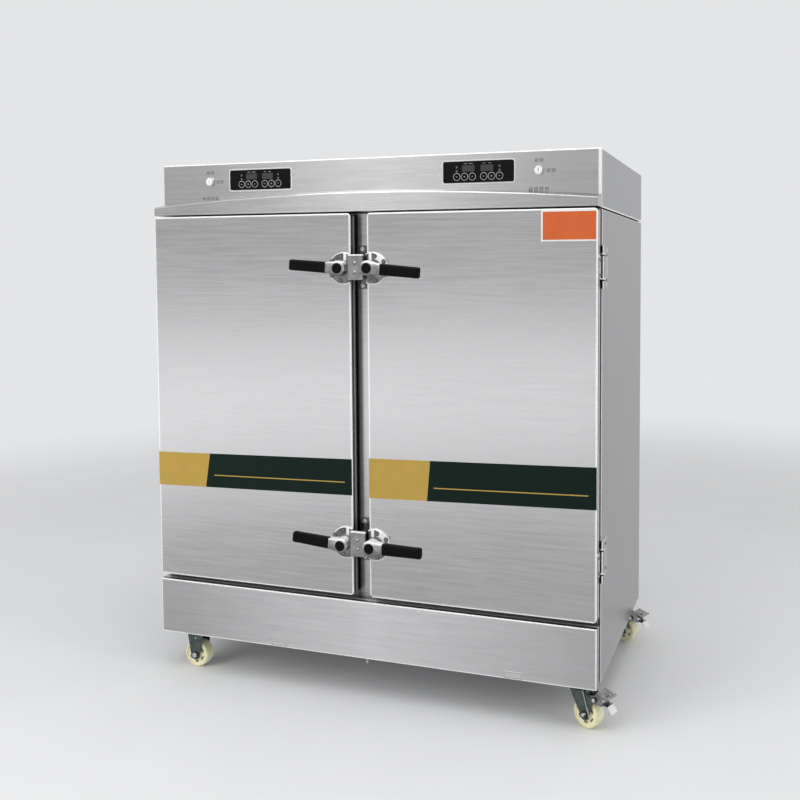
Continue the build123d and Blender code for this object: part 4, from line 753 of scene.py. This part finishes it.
def cast_finish(name, dark, light):
    """Die cast zinc, polished and plated: its tone drifts between two greys, with a faint orange peel."""
    made, shader, place = plain_finish(name, (light, light, light), metallic=1.0, roughness=0.2)
    cast = noise(place, 40.0, 3.0)
    feed(shader, "Roughness", ramped(cast, (0.3, 0.7), (0.13, 0.25)))
    feed(shader, "Base Color", ramped(cast, (0.3, 0.7), (dark, light)))
    bumped(shader, noise(place, 300.0, 1.0), 0.06, 0.0003)
    return made, shader, place


def shaded(shader, gain):
    """Paints shade: takes the tone that a finish already has times a gain."""
    tone = shader.inputs["Base Color"].links[0].from_socket
    feed(shader, "Base Color", number("MULTIPLY", tone, gain))


for name, side, height, rise in levers:
    made, shader, place = cast_finish("lever_metal_" + name, 0.46, 0.6)
    # Each lever is painted darker below its pivot as shade, and white along its upper edge as a painted highlight.
    from_pivot = vector("SUBTRACT", place, cabinet_point(pivot_out * side, 0, height))
    over = vector("DOT_PRODUCT", from_pivot, (-side * np.sin(rise), 0, np.cos(rise)))
    shaded(shader, ramped(over, (-0.02, 0.006), (0.45, 1)))
    painted_highlight(made, ramped(over, (0.009, 0.0165)))
    dress(made, "lever_" + name)
    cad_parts["lever_" + name].visible_glossy = False
for side, name in hands:
    made, shader, place = cast_finish("base_metal_" + name, 0.17, 0.36)
    # Painted highlights on each base: a bar above its pivot towards the door's edge, its outer rim and, on the right
    # door, its upper outer quarter.
    spot = axes(vector("SUBTRACT", place, cabinet_point(pivot_out * side, 0, latch_heights[1])))
    out = number("MULTIPLY", spot["X"], side)
    on_upper_latch = number("GREATER_THAN", spot["Z"], 0.4)
    up = number("MULTIPLY_ADD", on_upper_latch, (latch_heights[1] - latch_heights[0]) / 1000, spot["Z"])
    ray = vector("LENGTH", add_node("CombineXYZ", {0: out, 1: up}).outputs[0])
    highlight_bar = number("COMPARE", out, -0.006, 0.0045)
    bright = number("MULTIPLY", highlight_bar, ramped(up, (0.02, 0.024)))
    bright = number("MAXIMUM", bright, ramped(ray, (0.0428, 0.044)))
    if side > 0:
        highlight_wedge = number("MULTIPLY", ramped(out, (0.003, 0.007)), ramped(up, (0.009, 0.013)))
        highlight_wedge = number("MULTIPLY", highlight_wedge, ramped(ray, (0.025, 0.029)))
        bright = number("MAXIMUM", bright, highlight_wedge)
    painted_highlight(made, bright)
    dress(made, "latch_bases_" + name)
made, shader, place = cast_finish("striker_metal", 0.38, 0.46)
spot = axes(place)
# The striker is painted darker towards the post as shade, and white along its plate's top edges as a painted
# highlight.
plate_back = cabinet_point(0, -68, 0)[1]
deep = ramped(spot["Y"], (plate_back, plate_back + 0.012))
shaded(shader, ramped(deep, (0, 1), (1.0, 0.4)))
top_highlights = [number("COMPARE", spot["Z"], (height + 36) / 1000 - 0.0012, 0.0024) for height in striker_heights]
painted_highlight(made, number("MULTIPLY", number("MAXIMUM", *top_highlights), number("SUBTRACT", 1.0, deep)))
dress(made, "striker_blocks")
grip_black, shader, place = plain_finish("grip_black", (0.004, 0.004, 0.005), roughness=0.42, Specular_IOR_Level=0.08)
pebble = add_node("TexVoronoi", {"Vector": place, "Scale": 900.0}).outputs["Distance"]
bumped(shader, pebble, 0.25, 0.0003)
handled = noise(place, 30.0, 4.0)
feed(shader, "Roughness", ramped(handled, (0, 1), (0.3, 0.56)))
feed(shader, "Base Color", ramped(handled, (0, 1), (0.002, 0.006)))
for name, side, height, rise in levers:
    dress(grip_black, "grip_" + name)
    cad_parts["grip_" + name].visible_glossy = False
latch_face = -62.0
for side, name in hands:
    spots = [cabinet_point((pivot_out + x) * side, latch_face, height + z) for height in latch_heights
             for x, z in ((8, 34), (8, -34), (35.5, 18.5), (35.5, -18.5))]
    new_piece("latch_screws_" + name, [screw_head(4.8, 1.8, spot, front) for spot in spots], zinc_dark,
              "door_" + name)
    # Black rings round the screws are painted shade in their seats.
    shade_rings = [turned(((4.4, 0), (7.0, 0), (7.0, 0.12), (4.4, 0.2), (4.4, 0)), spot, front) for spot in spots]
    new_piece("latch_screw_shade_rings_" + name, shade_rings, black_print_and_shade, "door_" + name)
post_screws = [screw_head(6.4, 2.8, cabinet_point(-4, -23, height + z), front)
               for height in striker_heights for z in (-52, 52)]
new_piece("striker_screws", post_screws, zinc_bright, "cabinet")
rivet = ((0, 0), (3.9, 0), (3.7, 0.9), (2.9, 1.9), (1.5, 2.5), (0, 2.7))
spots = [cabinet_point(0, -78, height + z) for height in striker_heights for z in (-13, 13)]
new_piece("striker_rivets", [turned(rivet, spot, front) for spot in spots], zinc_bright, "cabinet")
# Black rings a little under the rivets are their painted shadows.
shadows = [turned(((3.6, 0), (5.2, 0), (5.2, 0.1), (3.6, 0.2), (3.6, 0)), spot - np.array([0, 0, 0.0012]), front)
           for spot in spots]
new_piece("striker_rivet_shadows", shadows, black_print_and_shade, "cabinet")


def grip_band(side, height, slope, start=39, length=116, corner=7, middle=-86.5):
    """A raised band round a grip near its end: a rounded rectangle that follows the grip's taper is carried out
    along the lever's slope, up by the band's height, along it and down again."""
    distance = np.array([143.0, 143.0, 147.0, 147.0, 143.0])
    proud = np.array([-0.4, 0.5, 0.5, -0.4, -0.4])
    quarter = (np.arange(4)[:, None] * pi / 2 + np.linspace(0, pi / 2, 5)[None, :]).ravel()
    signs = np.repeat([[1, 1], [-1, 1], [-1, -1], [1, -1]], 5, axis=0)
    share = (distance - start) / length
    half_depth = 11 - 1.5 * share + proud
    half_height = 16.25 - 1.0 * share + proud
    y = middle + signs[:, 0] * (half_depth[:, None] - corner) + corner * np.cos(quarter)
    z = signs[:, 1] * (half_height[:, None] - corner) + corner * np.sin(quarter)
    x = np.broadcast_to(distance[:, None], y.shape)
    loop = np.stack([side * (pivot_out + x * np.cos(slope) - z * np.sin(slope)), y,
                     height + x * np.sin(slope) + z * np.cos(slope)], axis=-1)
    return grid(np.concatenate([loop, loop[:, :1]], axis=1) / 1000 + cabinet_point(0, 0, 0))


for name, side, height, rise in levers:
    band = new_piece("grip_band_" + name, [grip_band(side, height, rise)], grip_black, "latch_" + name)
    band.visible_glossy = False


# Inside the tanks and under the case: hairpin heating elements and outlet pipes of drawn steel tube, and the drain
# valve of turned brass, whose lever is dipped in red plastic.
dress(mottled("element_metal", (0.42, 0.4, 0.39), (0.32, 0.56), 60.0, 6.0, grey=True, metallic=1.0, roughness=0.42),
      "heating_elements", "outlet_pipes")
dress(mottled("valve_brass", (0.7, 0.52, 0.24), (0.75, 1.15), 80.0, 5.0, metallic=1.0, roughness=0.3), "drain_valve")
dress(mottled("red_dip", (0.5, 0.035, 0.03), (0.85, 1.15), 50.0, 3.0, roughness=0.35, Coat_Weight=0.3), "drain_lever")


# Casters: zinc plated pressed forks and plates, cream nylon wheels with dark core slots, and brake pedals with a
# pale pad on the release tab. Each plate is held by four hex bolts under the pan.
caster_rows = (("front", -7.0), ("rear", 568.0))
rigid_out, swivel_out = -592, 633
axle_height = 40
trail = 32.0
swing = radians(-24)
swivel_ahead = np.array([np.cos(swing), np.sin(swing), 0])
swivel_side = np.array([-np.sin(swing), np.cos(swing), 0])
zinc_grey = (0.108, 0.138, 0.124)


def way_behind(place, kingpin):
    """How far a point lies from the kingpin along the trail of a swivel caster, and its place above the floor."""
    from_pin = vector("SUBTRACT", place, kingpin)
    along = vector("DOT_PRODUCT", from_pin, swivel_ahead)
    return along, axes(from_pin)["Z"]


def fork_finish(name, kingpin=None):
    """Zinc plated sheet with soft greenish clouds. On a swivel fork the pressed rib carries a painted highlight, which
    is where the way along the trail is near the rib's slanted line, and the nuts outside its cheeks are painted dark
    as shade, with one slanted painted highlight streak."""
    made, shader, place = plain_finish(name, zinc_grey, metallic=1.0, roughness=0.3)
    cloud = noise(place, 70.0, 3.0)
    tone = vector("SCALE", zinc_grey, ramped(cloud, (0.3, 0.7), (0.8, 1.25)))
    if kingpin is not None:
        along, height = way_behind(place, kingpin)
        line = number("MULTIPLY_ADD", height, -0.325, 0.0605)
        rib = number("COMPARE", along, line, 0.0024)
        tone = laid_over(rib, tone, (0.5, 0.56, 0.54, 1))
        aside = number("ABSOLUTE", vector("DOT_PRODUCT", vector("SUBTRACT", place, kingpin), swivel_side))
        nut = number("GREATER_THAN", aside, 0.0229)
        slant = number("MULTIPLY_ADD", along, 0.55, 0.0244)
        streak = number("COMPARE", height, slant, 0.003)
        painted_nut = laid_over(streak, (0.1, 0.11, 0.11, 1), (0.86, 0.87, 0.88, 1))
        tone = laid_over(nut, tone, painted_nut)
    feed(shader, "Base Color", tone)
    feed(shader, "Roughness", ramped(cloud, (0, 1), (0.22, 0.4)))
    return made


def pedal_finish(name, kingpin):
    """Nickel plated pressing, darker than the bolts, with a white pad sprayed on the end of the release tab."""
    made, shader, place = plain_finish(name, (0.5, 0.5, 0.5), metallic=1.0, roughness=0.18)
    cloud = noise(place, 50.0, 3.0)
    tone = ramped(cloud, (0.3, 0.7), (0.2, 0.36))
    along, height = way_behind(place, kingpin)
    far_out = number("GREATER_THAN", along, 0.1032)
    low_down = number("LESS_THAN", height, 0.0835)
    pad = number("MULTIPLY", far_out, low_down)
    feed(shader, "Base Color", laid_over(pad, tone, (0.8, 0.8, 0.81, 1)))
    feed(shader, "Metallic", number("SUBTRACT", 1.0, pad))
    feed(shader, "Roughness", ramped(cloud, (0, 1), (0.12, 0.26)))
    return made


dress(fork_finish("caster_zinc"), "rigid_forks", "swivel_plates")
dress(zinc_bright, "rigid_axles")
for row, y in caster_rows:
    kingpin = cabinet_point(swivel_out, y, 0)
    dress(fork_finish("fork_zinc_" + row, kingpin), "swivel_fork_" + row)
    dress(pedal_finish("pedal_nickel_" + row, kingpin), "brake_pedal_" + row)
wheel_cream, shader, place = plain_finish("wheel_cream", (0.92, 0.88, 0.57), roughness=0.34, Coat_Weight=0.2)
wear_and_sheen = ramped(noise(place, 55.0, 6.0, 0.7), (0.5, 0.8))
feed(shader, "Base Color", laid_over(wear_and_sheen, (0.92, 0.88, 0.57, 1), (0.7, 0.63, 0.4, 1)))
core_brown = mottled("core_brown", (0.13, 0.075, 0.05), (0.6, 1.5), 200.0, roughness=0.7)
washer_dark = mottled("washer_dark", (0.05, 0.052, 0.052), (0.03, 0.08), 90.0, 3.0, grey=True, metallic=1.0,
                      roughness=0.35)


def turned_wheel(hub, side, radius=40.0, half=17.0, tread=5.0):
    """A moulded wheel about the line through its hub: the profile goes from the bore over the hub, down the sunk web,
    up the rim and over the rounded tread to the other side, each corner a short quarter arc, and once round."""
    flank = [(5.2, -half), (14.2, -half), (15.0, -half + 0.8), (15.4, -half + 2.6), (16.2, -half + 3.0),
             (31.6, -half + 3.0), (32.6, -half + 2.5), (33.2, -half + 0.7), (33.9, -half), (radius - tread, -half)]
    shoulder = [(radius - tread + tread * np.sin(turn), -half + tread - tread * np.cos(turn))
                for turn in np.linspace(0, pi / 2, 5)[1:]]
    near = np.array(flank + shoulder)
    return turned(np.concatenate([near, near[::-1] * [1, -1], near[:1]]), hub, side, steps=72)


core = ((0, 0), (2.5, 0), (2.5, 0.2), (2.2, 0.35), (0, 0.35))
washer = ((5.4, 0), (11.6, 0), (11.6, 0.9), (11.0, 1.3), (5.4, 1.3), (5.4, 0))
thread = ((0, 0), (3.9, 0), (3.9, 1.8), (3.2, 2.6), (0, 2.8))
bolt = ((0, 0), (6.5, 0), (6.5, 4.0), (5.6, 4.8), (0, 4.8))
dome = ((0, 0), (5.6, 0), (5.2, 1.4), (3.8, 2.5), (1.8, 3.1), (0, 3.2))
for row, y in caster_rows:
    for hand in ("left", "right"):
        if hand == "left":
            hub, body = cabinet_point(rigid_out, y, axle_height), "cabinet"
            ahead, side = np.eye(3)[:2]
        else:
            hub, body = cabinet_point(swivel_out, y, axle_height) + swivel_ahead * trail / 1000, "swivel_" + row
            ahead, side = swivel_ahead, swivel_side
        name = row + "_" + hand
        moulded = new_piece("moulded_wheel_" + name, [turned_wheel(hub, side)], wheel_cream, "caster_wheel_" + name)
        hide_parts("wheel_" + name)
        dress(wheel_cream, "wheel_" + name)
        cores = []
        for middle in np.arange(6) * pi / 3 + pi / 6:
            for face in (-1, 1):
                for angle in middle + np.linspace(-0.16, 0.16, 5):
                    outward = ahead * np.cos(angle) + np.array([0, 0, np.sin(angle)])
                    spot = hub + outward * 0.0235 + side * face * 0.01385
                    cores.append(turned(core, spot, side * face, steps=12))
        new_piece("wheel_cores_" + name, cores, core_brown, "caster_wheel_" + name)
        # The washers are painted near black, as the shade round the axle nuts.
        washers = [turned(washer, hub + side * face * 0.0213, side * face, steps=32) for face in (-1, 1)]
        new_piece("axle_washers_" + name, washers, washer_dark, body)
        ends = [turned(thread, hub + side * face * 0.0263, side * face, steps=16) for face in (-1, 1)]
        new_piece("axle_ends_" + name, ends, zinc_bright, body)
    heads = [turned(bolt, cabinet_point(x + dx, y + dy, 113), (0, 0, -1), corners=6)
             for x in (rigid_out, swivel_out) for dx in (-36, 36) for dy in (-24, 24)]
    new_piece("plate_bolts_" + row, heads, zinc_bright, "cabinet")
    pivot = cabinet_point(swivel_out, y, 88) + swivel_ahead * 0.062
    domes = [turned(dome, pivot + swivel_side * face * 0.0213, swivel_side * face, steps=20) for face in (-1, 1)]
    new_piece("pedal_domes_" + row, domes, zinc_bright, "brake_" + row)


# Sizes: the box of the CAD model and the box of all that is shown, side by side.
size = {"cad": [list(corner) for corner in cad_box], "visual": [list(corner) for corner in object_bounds()]}
